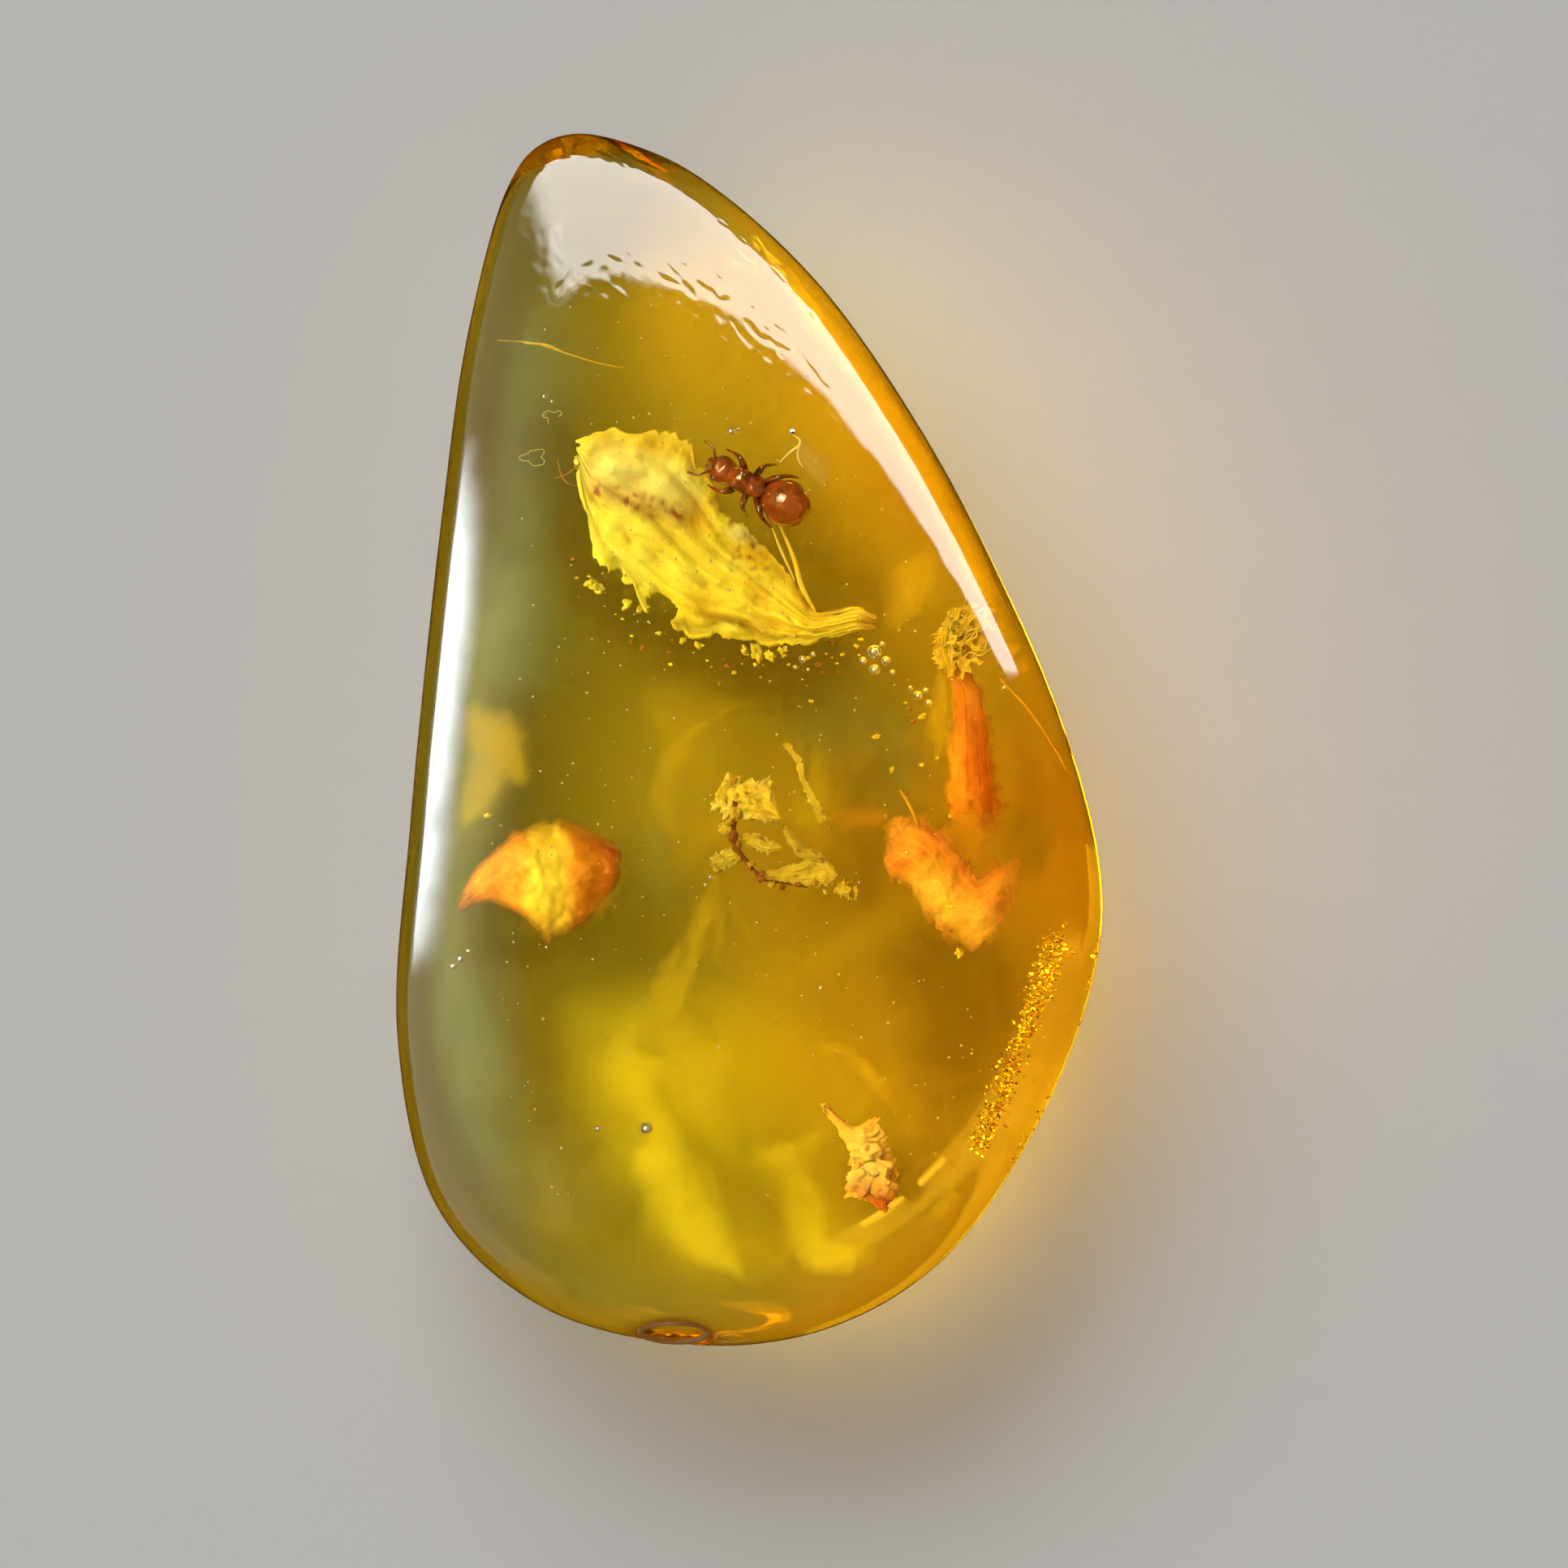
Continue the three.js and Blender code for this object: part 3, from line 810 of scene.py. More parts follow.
@dataclass
class Sheet:
    """A thin scrap of a plant, between two edges as they are seen down through the dome."""

    shape: DropShape
    finish: ScrapFinish
    level: float
    thickness: float
    left: tuple[Place, ...]
    right: tuple[Place, ...]
    cells: tuple[int, int] = (40, 80)
    ragged: float = 0.14
    crumple: float = 0.12
    crumple_scale: float = 0.9
    crumple_fall: float = 0.9
    # how strongly shade is painted into the hollows of the crumple
    crease_shade: float = 0.0
    edge_fade: float = 0.3
    dullness: float = 0.0
    seed: float = 0.0

    def curl(self, across: float, along: float) -> float:
        """Gives how far the sheet is lifted, by place across from -1 to 1 and along from 0 to 1."""
        return 0.0

    def wrinkle(self, across: float, along: float) -> float:
        """Gives the height of the sheet's own wrinkles."""
        return 0.0

    def body(self, across: float, along: float) -> float:
        """Gives how solid a point is, which is less towards the edges."""
        inside = min(1 - abs(across), 2.5 * along, 2.5 * (1 - along))
        return min(inside / self.edge_fade, 1.0)

    def stain_and_shade(self, seen: Place, across: float, along: float) -> float:
        """Gives how far a point takes the dark colour, from 0 to 1, for stains and, on the leaf, for painted
        shade.
        """
        return 0.0

    def pale(self, seen: Place, across: float, along: float) -> float:
        """Gives how pale a point is, from 0 to 1, where it is bleached, and on the petal and bark strip where
        glow and highlight are painted on.
        """
        return 0.0

    def torn(self, seen: Place) -> bool:
        """Tells whether the sheet is torn away at a point."""
        return False

    def add_to(self, mesh: bmesh.types.BMesh) -> None:
        """Adds the sheet to a mesh, as a closed thin shell.

        Args:
            mesh: The mesh that gets it.
        """
        own = bmesh.new()
        deep_layer = own.verts.layers.float.new("deep")
        pale_layer = own.verts.layers.float.new("pale")
        body_layer = own.verts.layers.float.new("body")
        dull_and_crease_shade_layer = own.verts.layers.float.new("fold")
        own.loops.layers.uv.new("UVMap")
        verts = bmesh.ops.create_grid(
            own, x_segments=self.cells[0], y_segments=self.cells[1], size=1.0, calc_uvs=True
        )["verts"]
        flat = np.array([vert.co[:2] for vert in verts])
        across, along = flat[:, 0].copy(), (flat[:, 1] + 1) / 2
        fray = np.array([self.fray(math.copysign(4, a), s) for a, s in zip(across, along)])
        ends = [Vector((a * 2.5, s * 3, self.seed + 7)) for a, s in zip(across, along)]
        end_fray = np.array([noise.fractal(end, 0.8, 2.0, 3) for end in ends])
        reach = np.clip(along + 0.05 * end_fray * (2 * along - 1) ** 8 * np.sign(along - 0.5), 0, 1)
        lefts, rights = Curve(self.left).at(reach), Curve(self.right).at(reach)
        middle, half = (lefts + rights) / 2, (rights - lefts) / 2
        wide = across * (1 + self.ragged * fray * np.abs(across) ** 5)
        seen = middle + half * wide[:, None]
        spots = self.shape.beneath(seen, self.level)
        room = np.minimum(np.linalg.norm(half, axis=1) / 1.2, 1.0)
        for vert, spot, place, a, s, slack in zip(verts, spots, seen, across, along, room):
            point = Vector(spot)
            where = Vector((point.x, point.y, self.seed)) * self.crumple_scale
            wave = noise.fractal(where, self.crumple_fall, 2.0, 4)
            folds = self.wrinkle(a, s) + self.crumple * wave * slack
            point.z += self.curl(a, s) + folds
            vert.co = point
            vert[deep_layer] = min(max(self.stain_and_shade(tuple(place), a, s), 0.0), 1.0)
            # painted shade: the crumple's hollows are darkened, on top of the scrap's even dullness
            vert[dull_and_crease_shade_layer] = min(self.dullness + self.crease_shade * max(-folds, 0.0), 1.0)
            vert[body_layer] = self.body(a, s)
            vert[pale_layer] = min(max(self.pale(tuple(place), a, s), 0.0), 1.0)
        centres = [np.mean([seen[vert.index] for vert in face.verts], axis=0) for face in own.faces]
        lost = [face for face, centre in zip(own.faces, centres) if self.torn(tuple(centre))]
        bmesh.ops.delete(own, geom=lost, context="FACES")
        bmesh.ops.recalc_face_normals(own, faces=own.faces)
        self.thicken(own)
        add_part(mesh, own)

    def fray(self, side: float, along: float) -> float:
        """Gives how far an edge is worn in or out, by broad bays and by small teeth."""
        bays = noise.fractal(Vector((along * 9, side, self.seed)), 0.8, 2.0, 4)
        teeth = noise.fractal(Vector((along * 34, side, self.seed + 3)), 0.8, 2.0, 3)
        return bays + 0.6 * teeth

    def thicken(self, mesh: bmesh.types.BMesh) -> None:
        """Gives an open sheet its thickness, downwards.

        Args:
            mesh: The mesh that holds the sheet alone.
        """
        mesh.normal_update()
        under = bmesh.ops.extrude_face_region(mesh, geom=mesh.faces[:], use_keep_orig=True)["geom"]
        below = [part for part in under if isinstance(part, bmesh.types.BMVert)]
        for vert in below:
            vert.co -= vert.normal * self.thickness * 0.5
        bmesh.ops.recalc_face_normals(mesh, faces=mesh.faces)

    def build(self, name: str, slot: Slot) -> bpy.types.Object:
        """Makes the scrap as a piece that stands for the solid of its name."""
        mesh = bmesh.new()
        self.add_to(mesh)
        return finished(f"sealed_{name}", mesh, self.finish.material(), slot, name)


@dataclass
class Leaf(Sheet):
    """The yellow leaf, crumpled and torn, with its stalk curled over to the right."""

    level: float = 8.6
    thickness: float = 0.35
    left: tuple[Place, ...] = (
        (-6.8, 11.7), (-5.8, 12.0), (-3.8, 12.1), (-2.6, 11.7), (-1.8, 10.4), (-0.8, 8.8), (0.4, 7.8),
        (1.3, 6.7), (2.1, 5.6), (2.6, 5.0), (3.4, 5.0), (4.2, 5.1), (5.0, 4.8),
    )
    right: tuple[Place, ...] = (
        (-6.7, 10.9), (-6.4, 8.9), (-5.9, 7.2), (-5.0, 6.1), (-3.6, 4.9), (-2.1, 4.2), (-0.6, 3.9),
        (0.7, 3.7), (1.7, 3.7), (2.5, 3.9), (3.4, 4.1), (4.2, 4.3), (4.9, 4.3),
    )
    cells: tuple[int, int] = (90, 170)
    ragged: float = 0.16
    crumple: float = 0.24
    crumple_scale: float = 0.8
    crumple_fall: float = 1.5
    crease_shade: float = 2.0
    seed: float = 1.0

    def curl(self, across: float, along: float) -> float:
        """Gives the leaf's fold along its middle and its droop towards the stalk."""
        fold = 0.45 * math.cos(2.6 * across) * math.sin(math.pi * along) ** 2
        return fold - 0.5 * along * along + 0.16 * math.sin(9 * along)

    def wrinkle(self, across: float, along: float) -> float:
        """Gives sharp lengthwise creases, and the bumps that crowd the lower edge."""
        loose = math.sin(math.pi * min(max(along, 0.0), 1.0))
        creases = abs(noise.noise(Vector((across * 3.4 + 2 * along, along * 2.6, 1.7)))) - 0.22
        bumps = abs(noise.noise(Vector((across * 2.6, along * 11, 5.1)))) - 0.2
        dimples = abs(noise.noise(Vector((across * 6.5, along * 24, 9.4)))) - 0.2
        crowded = min(max(0.35 + 0.9 * across, 0.1), 1.0)
        return loose * (0.45 * creases + crowded * (0.55 * bumps + 0.08 * dimples))

    def stain_and_shade(self, seen: Place, across: float, along: float) -> float:
        """Gives the brown streak, the specks under the ant, the orange flap, painted shade along the fold and
        painted shadow along the lower edge.
        """
        speck = max(noise.noise(Vector((*seen, 3.0)) * 3.6) - 0.1, 0) * 2.6
        streak = near(seen, (-5.9, 9.7), (-2.6, 8.7), 0.6) * (0.5 + 0.7 * speck)
        under_ant = near(seen, (-0.9, 9.2), (0.2, 7.0), 1.0) * speck
        # painted shade beside the fold's ridge, and painted shadow along the leaf's lower edge
        fold_shade_line = 0.55 * near(seen, (0.85, 8.2), (2.3, 5.1), 0.16)
        lower_edge_shadow = 0.5 * near(seen, (-1.9, 4.9), (0.6, 4.3), 0.3)
        tip = 0.8 * near(seen, (4.6, 4.6), (5.1, 4.5), 0.5)
        flap = 0.34 * near(seen, (-5.3, 11.7), (-2.6, 11.3), 0.7)
        dull = 0.16 * near(seen, (-6.2, 10.4), (-3.4, 9.2), 1.6)
        return streak + under_ant + fold_shade_line + lower_edge_shadow + tip + flap + dull

    def pale(self, seen: Place, across: float, along: float) -> float:
        """Gives the cream upper middle and the bleached patches under the ant."""
        cream = 0.6 * near(seen, (-5.5, 10.6), (-2.8, 9.8), 1.3)
        patch = 0.9 * near(seen, (-0.5, 8.2), (0.4, 7.8), 0.5)
        return cream + patch

    def torn(self, seen: Place) -> bool:
        """Tells where the hole by the lower edge and the notches are."""
        hole = near(seen, (-3.6, 5.3), (-3.2, 5.0), 0.42) > 0.1
        notch = near(seen, (-5.6, 6.3), (-5.1, 6.5), 0.22) > 0.1
        return hole or notch


@dataclass
class Petal(Sheet):
    """The cupped orange petal."""

    level: float = 6.6
    thickness: float = 0.35
    left: tuple[Place, ...] = (
        (-11.5, -6.6), (-10.8, -5.1), (-9.9, -4.0), (-8.8, -3.2), (-7.5, -2.9), (-6.2, -3.4), (-5.2, -4.1),
        (-4.8, -4.7),
    )
    right: tuple[Place, ...] = (
        (-11.4, -6.9), (-10.4, -6.5), (-9.2, -6.9), (-8.3, -7.7), (-7.5, -8.0), (-6.7, -7.6), (-5.7, -6.5),
        (-4.8, -5.2),
    )
    cells: tuple[int, int] = (60, 90)
    crumple: float = 0.16
    crease_shade: float = 0.4
    edge_fade: float = 0.4
    seed: float = 2.0

    def curl(self, across: float, along: float) -> float:
        """Gives the petal's cup."""
        return 0.9 * math.sin(math.pi * along) * (1 - across * across) - 0.45

    def stain_and_shade(self, seen: Place, across: float, along: float) -> float:
        """Gives the dark red-orange rim, broadest on the right."""
        edge = max(abs(across) - 0.4, 0) * 0.9
        shade = min(max((seen[0] + 7.3) / 1.6, 0), 1) * 0.75
        return edge + shade + 0.5 * max(0.15 - along, 0) + 0.2 * noise.noise(Vector((*seen, 2.0)) * 0.9)

    def pale(self, seen: Place, across: float, along: float) -> float:
        """Gives the glowing fold down the middle, which has a hard left side."""
        glow = near(seen, (-8.0, -3.7), (-8.0, -6.9), 1.2)
        ragged_side = seen[0] + 8.9 + 0.5 * noise.noise(Vector((0.0, seen[1], 4.0)) * 1.6)
        mottle = 0.3 * noise.noise(Vector((*seen, 7.0)) * 0.9)
        return max(1.5 * glow + mottle - 0.1, 0) * min(max(ragged_side / 0.25, 0.3), 1)


@dataclass
class BarkStrip(Sheet):
    """The upright strip of bark, ragged at its upper end."""

    level: float = 6.8
    thickness: float = 0.4
    left: tuple[Place, ...] = (
        (9.1, 5.1), (9.1, 4.1), (8.8, 2.8), (9.3, 1.8), (9.6, 0.4), (9.8, -1.5), (10.0, -2.8), (9.7, -4.2),
    )
    right: tuple[Place, ...] = (
        (7.9, 4.9), (7.4, 4.1), (7.5, 2.9), (7.8, 2.0), (7.7, 0.0), (7.6, -1.5), (7.5, -2.6), (8.2, -3.6),
    )
    cells: tuple[int, int] = (36, 130)
    ragged: float = 0.3
    crumple: float = 0.16
    crease_shade: float = 0.5
    edge_fade: float = 0.5
    seed: float = 3.0

    def curl(self, across: float, along: float) -> float:
        """Gives the strip's trough and its slow wave."""
        return -0.5 * across * across + 0.3 * math.sin(5 * along) - 0.5 * along

    def stain_and_shade(self, seen: Place, across: float, along: float) -> float:
        """Gives the redder middle and lower end."""
        blotch = noise.noise(Vector((across * 1.3, along * 5, 2.2)))
        return min(max((along - 0.2) / 0.25, 0), 1) * (0.55 - 0.45 * across + 0.5 * blotch)

    def pale(self, seen: Place, across: float, along: float) -> float:
        """Gives the yellow upper end and the lit left hand edge."""
        return 0.9 * max(1 - along / 0.3, 0) + 0.7 * max(across - 0.55, 0)

    def torn(self, seen: Place) -> bool:
        """Tells where the upper end is frayed away."""
        upper = min(max((seen[1] - 2.6) / 2.2, 0), 1)
        return noise.noise(Vector((*seen, 9.0)) * 2.4) > 0.62 - 0.55 * upper and upper > 0


@dataclass
class BarkChip(Sheet):
    """The bent chip of bark below the strip."""

    level: float = 8.2
    thickness: float = 0.4
    left: tuple[Place, ...] = (
        (5.3, -3.2), (6.2, -2.8), (7.3, -3.2), (8.0, -3.9), (8.6, -4.6), (9.0, -5.1), (9.6, -4.8),
        (10.6, -4.6),
    )
    right: tuple[Place, ...] = (
        (5.2, -4.5), (5.4, -5.5), (6.2, -6.0), (6.8, -7.0), (7.7, -8.0), (8.9, -8.4), (9.8, -7.6),
        (10.8, -5.3),
    )
    cells: tuple[int, int] = (50, 100)
    ragged: float = 0.35
    crumple: float = 0.2
    crease_shade: float = 0.6
    edge_fade: float = 0.45
    seed: float = 4.0

    def curl(self, across: float, along: float) -> float:
        """Gives the chip's bend."""
        return 0.15 * math.cos(3 * across) - 0.6 * along * along

    def stain_and_shade(self, seen: Place, across: float, along: float) -> float:
        """Gives the redder upper right arm."""
        return 0.6 * max(along - 0.55, 0) + 0.45 * max(-across - 0.3, 0)

    def pale(self, seen: Place, across: float, along: float) -> float:
        """Gives the lighter foot of the bend."""
        return 0.9 * near(seen, (7.0, -5.6), (8.8, -7.4), 1.1)


@dataclass
class Bract(Sheet):
    """One yellow flake of the floret."""

    def curl(self, across: float, along: float) -> float:
        """Gives the flake's bow."""
        return 0.2 * (1 - across * across)

    def stain_and_shade(self, seen: Place, across: float, along: float) -> float:
        """Gives the brown specks."""
        return 2.5 * max(noise.noise(Vector((*seen, 5.0)) * 4.0) - 0.3, 0)

    def pale(self, seen: Place, across: float, along: float) -> float:
        """Gives the bleached edges."""
        return 0.6 * abs(across) ** 3


@dataclass
class Tatter(Sheet):
    """A flake torn to a net."""

    holes: float = 0.25

    def torn(self, seen: Place) -> bool:
        """Tells where the net's holes are."""
        return noise.noise(Vector((*seen, self.seed)) * 2.6) > self.holes

    def pale(self, seen: Place, across: float, along: float) -> float:
        """Gives the lighter strands."""
        return 0.7 * max(noise.noise(Vector((*seen, 1.0)) * 3.1), 0)


@dataclass
class Tatters:
    """The torn flakes that trail from the larger scraps, each by its level, its holes and its two edges."""

    shape: DropShape
    finish: ScrapFinish
    flakes: tuple[tuple[float, float, tuple[Place, ...], tuple[Place, ...]], ...] = (
        (
            7.2, 0.9, ((8.2, 5.2), (8.35, 4.5), (8.25, 3.7), (8.1, 2.5)),
            ((7.95, 5.2), (7.5, 4.3), (7.25, 3.5), (7.75, 2.4)),
        ),
        (
            7.4, -0.02, ((9.35, 5.5), (9.5, 4.6), (9.3, 3.6), (9.0, 2.3)),
            ((8.7, 5.3), (8.0, 4.6), (8.0, 3.6), (8.0, 2.4)),
        ),
        (
            8.7, 0.5, ((1.45, -0.1), (2.0, -0.7), (2.2, -1.5), (2.6, -2.3), (3.0, -3.2)),
            ((1.3, -0.2), (1.75, -0.8), (2.0, -1.6), (2.35, -2.4), (2.75, -3.3)),
        ),
        (
            8.4, 0.3, ((3.4, -5.7), (3.9, -5.6), (4.3, -5.9)), ((3.3, -6.0), (3.8, -6.2), (4.2, -6.3)),
        ),
    )

    def build(self) -> bpy.types.Object:
        """Makes all the flakes as one piece."""
        mesh = bmesh.new()
        for number, (level, holes, left, right) in enumerate(self.flakes):
            Tatter(
                self.shape, self.finish, level, 0.12, left, right, cells=(40, 80), ragged=0.9,
                crumple=0.25, crumple_scale=1.6, crease_shade=1.5, dullness=0.25, seed=40.0 + number, holes=holes,
            ).add_to(mesh)
        return finished("tatters", mesh, self.finish.material(), Slot.FLORET)


@dataclass
class Floret:
    """The small flower: ragged yellow flakes on a brown beaded stalk."""

    shape: DropShape
    finish: ScrapFinish
    level: float = 8.3
    stalk: tuple[Place, ...] = (
        (-0.65, -1.5), (-0.55, -2.2), (-0.57, -3.0), (-0.65, -3.9), (-0.1, -4.8), (0.5, -5.4), (1.4, -5.6),
        (2.3, -5.8),
    )
    stalk_radii: tuple[float, ...] = (0.08, 0.1, 0.15, 0.12, 0.09, 0.1, 0.08, 0.04)
    dullness: tuple[float, ...] = (0.0, 0.5, 0.45, 0.3, 0.7, 0.3)
    bead_lift: float = 0.15
    beads: tuple[Spot, ...] = (
        (-0.65, -1.6, 0.2), (-0.5, -2.2, 0.16), (-0.5, -2.9, 0.24), (-0.7, -3.2, 0.18), (-0.6, -3.8, 0.22),
        (-0.4, -4.1, 0.14), (0.1, -2.5, 0.1), (0.1, -4.9, 0.14), (0.5, -5.4, 0.2), (0.9, -5.7, 0.15),
        (1.3, -5.8, 0.13), (1.9, -5.7, 0.12), (2.6, -5.6, 0.14), (3.1, -5.4, 0.1), (-1.3, -5.1, 0.1),
    )
    flakes: tuple[tuple[tuple[Place, ...], tuple[Place, ...]], ...] = (
        (
            ((-0.9, -1.4), (-0.4, -1.5), (0.2, -1.6), (0.8, -1.7), (1.0, -2.3), (1.25, -2.9)),
            ((-1.5, -2.6), (-1.1, -2.9), (-0.6, -3.0), (-0.1, -3.2), (0.6, -3.2), (1.25, -3.2)),
        ),
        (
            ((-1.5, -4.6), (-1.1, -4.4), (-0.6, -4.3), (-0.3, -4.6)),
            ((-1.4, -5.2), (-1.1, -5.2), (-0.7, -5.0), (-0.3, -4.8)),
        ),
        (
            ((0.4, -5.3), (1.3, -5.0), (2.0, -4.8), (2.7, -4.5), (3.2, -4.9), (3.5, -5.3)),
            ((0.5, -5.5), (1.0, -5.6), (1.6, -5.7), (2.5, -5.8), (3.2, -5.7), (3.5, -5.4)),
        ),
        (
            ((-0.2, -3.7), (0.4, -3.7), (0.9, -4.0), (1.3, -4.2)),
            ((-0.3, -4.0), (0.2, -4.3), (0.7, -4.5), (1.2, -4.4)),
        ),
        (
            ((1.5, -3.4), (2.0, -3.9), (2.4, -4.3), (3.0, -4.6)),
            ((1.3, -3.6), (1.6, -4.2), (2.1, -4.7), (2.9, -4.9)),
        ),
        (
            ((-1.2, -3.3), (-0.9, -3.2), (-0.7, -3.4)),
            ((-1.2, -3.6), (-1.0, -3.8), (-0.7, -3.7)),
        ),
    )

    def build(self) -> bpy.types.Object:
        """Makes the floret as one piece."""
        mesh = bmesh.new()
        for number, (left, right) in enumerate(self.flakes):
            Bract(
                self.shape, self.finish, self.level, 0.2, left, right,
                cells=(30, 44), ragged=0.5, crumple=0.3, crumple_scale=1.5, crease_shade=1.6,
                dullness=self.dullness[number], seed=20.0 + number,
            ).add_to(mesh)
        deep_layer = mesh.verts.layers.float["deep"]
        flakes_end = len(mesh.verts)
        add_stem(mesh, self.shape.beneath(np.array(self.stalk), self.level), self.stalk_radii)
        mesh.verts.ensure_lookup_table()
        for vert in mesh.verts[flakes_end:]:
            vert[deep_layer] = 1.0
        for x, y, size in self.beads:
            at = self.shape.spot((x, y), self.level + self.bead_lift)
            radii = (size, size * 0.8, size * 0.8)
            for vert in add_lump(mesh, at, radii, turn=3 * x, roughen=0.8, fineness=3):
                vert[deep_layer] = 0.7 + 0.3 * math.sin(40 * x)
        return finished("sealed_floret", mesh, self.finish.material(), Slot.FLORET, "floret")


@dataclass
class BudScale(Sheet):
    """The bud scale: a yellow blade with cream lumps and a bead of darker resin at its foot."""

    level: float = 7.6
    thickness: float = 0.4
    left: tuple[Place, ...] = (
        (3.2, -14.5), (4.2, -15.2), (4.9, -14.9), (5.3, -15.6), (5.6, -16.4), (5.9, -17.6), (5.4, -18.4),
    )
    right: tuple[Place, ...] = (
        (2.8, -14.3), (3.4, -15.3), (4.0, -16.4), (3.9, -17.0), (3.8, -17.9), (4.6, -18.1), (5.2, -18.5),
    )
    cells: tuple[int, int] = (44, 80)
    ragged: float = 0.4
    crumple: float = 0.25
    crease_shade: float = 1.2
    seed: float = 5.0
    lump_lift: float = 0.25
    lump_pale: float = 0.85
    red_below: float = -16.9
    lumps: tuple[tuple[float, float, float], ...] = (
        (4.6, -16.2, 0.55), (5.0, -16.9, 0.5), (4.4, -17.4, 0.55), (5.2, -17.6, 0.5), (4.8, -15.5, 0.4),
    )

    def curl(self, across: float, along: float) -> float:
        """Gives the scale's bow and its waves."""
        return 0.35 * (1 - across * across) + 0.2 * math.sin(6 * along)

    def stain_and_shade(self, seen: Place, across: float, along: float) -> float:
        """Gives the orange-red foot."""
        return 1.2 * near(seen, (5.0, -17.0), (5.2, -18.2), 0.9)

    def pale(self, seen: Place, across: float, along: float) -> float:
        """Gives the cream middle."""
        return 0.6 * near(seen, (4.4, -15.6), (4.6, -16.8), 0.7)

    def build(self, name: str, slot: Slot) -> bpy.types.Object:
        """Makes the blade and its lumps as one piece."""
        mesh = bmesh.new()
        self.add_to(mesh)
        deep_layer = mesh.verts.layers.float["deep"]
        pale_layer = mesh.verts.layers.float["pale"]
        for x, y, size in self.lumps:
            at = self.shape.spot((x, y), self.level + self.lump_lift)
            for vert in add_lump(mesh, at, (size, size * 0.8, size * 0.6), roughen=0.7):
                vert[pale_layer] = self.lump_pale
                vert[deep_layer] = min(max((self.red_below - vert.co.y) * 0.9, 0.0), 1.0)
        return finished(f"sealed_{name}", mesh, self.finish.material(), slot, name)


@dataclass
class Ant:
    """The ant: head, thorax, waist and abdomen, six bent legs, two feelers and its jaws.

    Each segment has its middle, half sizes, roughness and paleness.
    """

    shape: DropShape
    finish: ShellFinish
    at: Place = (0.25, 9.85)
    level: float = 9.7
    turn: float = -0.49
    segments: tuple[tuple[Spot, Spot, float, float], ...] = (
        ((-1.4, 0.0, -0.05), (0.62, 0.56, 0.46), 0.14, 0.2),
        ((-0.66, 0.0, 0.12), (0.56, 0.5, 0.56), 0.22, 0.12),
        ((-0.05, 0.0, 0.08), (0.56, 0.46, 0.5), 0.22, 0.0),
        ((0.45, 0.0, 0.0), (0.3, 0.28, 0.36), 0.14, 0.0),
    )
    abdomen: Spot = (1.3, 0.0, 0.0)
    abdomen_radii: Spot = (1.0, 0.92, 0.8)
    eye: Spot = (-1.6, 0.44, 0.12)
    eye_radii: Spot = (0.16, 0.12, 0.15)
    legs: tuple[tuple[Spot, ...], ...] = (
        ((-0.6, 0.3, -0.1), (-0.85, 0.6, 0.2), (-1.05, 0.75, 0.3), (-1.35, 0.8, 0.05), (-1.65, 0.78, -0.2)),
        ((-0.2, 0.32, -0.1), (-0.15, 0.66, 0.25), (-0.1, 0.85, 0.35), (0.1, 1.05, 0.05), (0.3, 1.15, -0.2)),
        ((0.15, 0.3, -0.1), (0.45, 0.6, 0.2), (0.7, 0.85, 0.3), (1.0, 1.02, 0.05), (1.3, 1.1, -0.2)),
    )
    leg_radii: tuple[float, ...] = (0.12, 0.15, 0.1, 0.07, 0.04)
    feeler: tuple[Spot, ...] = ((-1.8, 0.2, 0.05), (-2.0, 0.42, 0.18), (-2.15, 0.6, 0.2), (-2.6, 0.7, 0.05))
    feeler_radii: tuple[float, ...] = (0.045, 0.05, 0.045, 0.055)
    jaw: tuple[Spot, ...] = ((-1.85, 0.22, -0.1), (-2.05, 0.16, -0.14), (-2.08, 0.02, -0.14))
    jaw_radii: tuple[float, ...] = (0.1, 0.07, 0.02)
    bands: float = 9.5

    def build(self) -> bpy.types.Object:
        """Makes the ant in its own frame, head to -X, and sets it down in the stone."""
        mesh = bmesh.new()
        pale_layer = mesh.verts.layers.float.new("pale")
        for at, radii, roughen, pale in self.segments:
            for vert in add_lump(mesh, at, radii, roughen=roughen):
                vert[pale_layer] = pale
        for vert in add_lump(mesh, self.abdomen, self.abdomen_radii, fineness=5, roughen=0.05):
            band = math.sin((vert.co.x - 0.5) * self.bands)
            vert.co.y *= 1 + 0.02 * max(band, 0)
            vert.co.z *= 1 + 0.02 * max(band, 0)
            vert[pale_layer] = 0.45 + 0.14 * band
        x, y, z = self.eye
        for side in (1, -1):
            add_lump(mesh, (x, side * y, z), self.eye_radii, fineness=3)
            self.add_limb(mesh, self.jaw, side, self.jaw_radii)
            self.add_limb(mesh, self.feeler, side, self.feeler_radii)
            for leg in self.legs:
                self.add_limb(mesh, leg, side, self.leg_radii)
        bmesh.ops.rotate(mesh, verts=mesh.verts, cent=(0, 0, 0), matrix=Matrix.Rotation(self.turn, 3, "Z"))
        bmesh.ops.translate(mesh, verts=mesh.verts, vec=self.shape.spot(self.at, self.level))
        return finished("sealed_ant", mesh, self.finish.material(), Slot.ANT, "ant")

    def add_limb(
        self, mesh: bmesh.types.BMesh, points: tuple[Spot, ...], side: int, radii: tuple[float, ...]
    ) -> None:
        """Adds a limb on one side, 1 or -1."""
        add_stem(mesh, [(x, side * y, z) for x, y, z in points], radii)


@dataclass(frozen=True)
class Wisp:
    """A stroke of haze about a line, as it is seen down through the dome."""

    path: tuple[Place, ...]
    level: float
    spread: float
    strength: float
    hue: Hue
    depth: float = 0.8


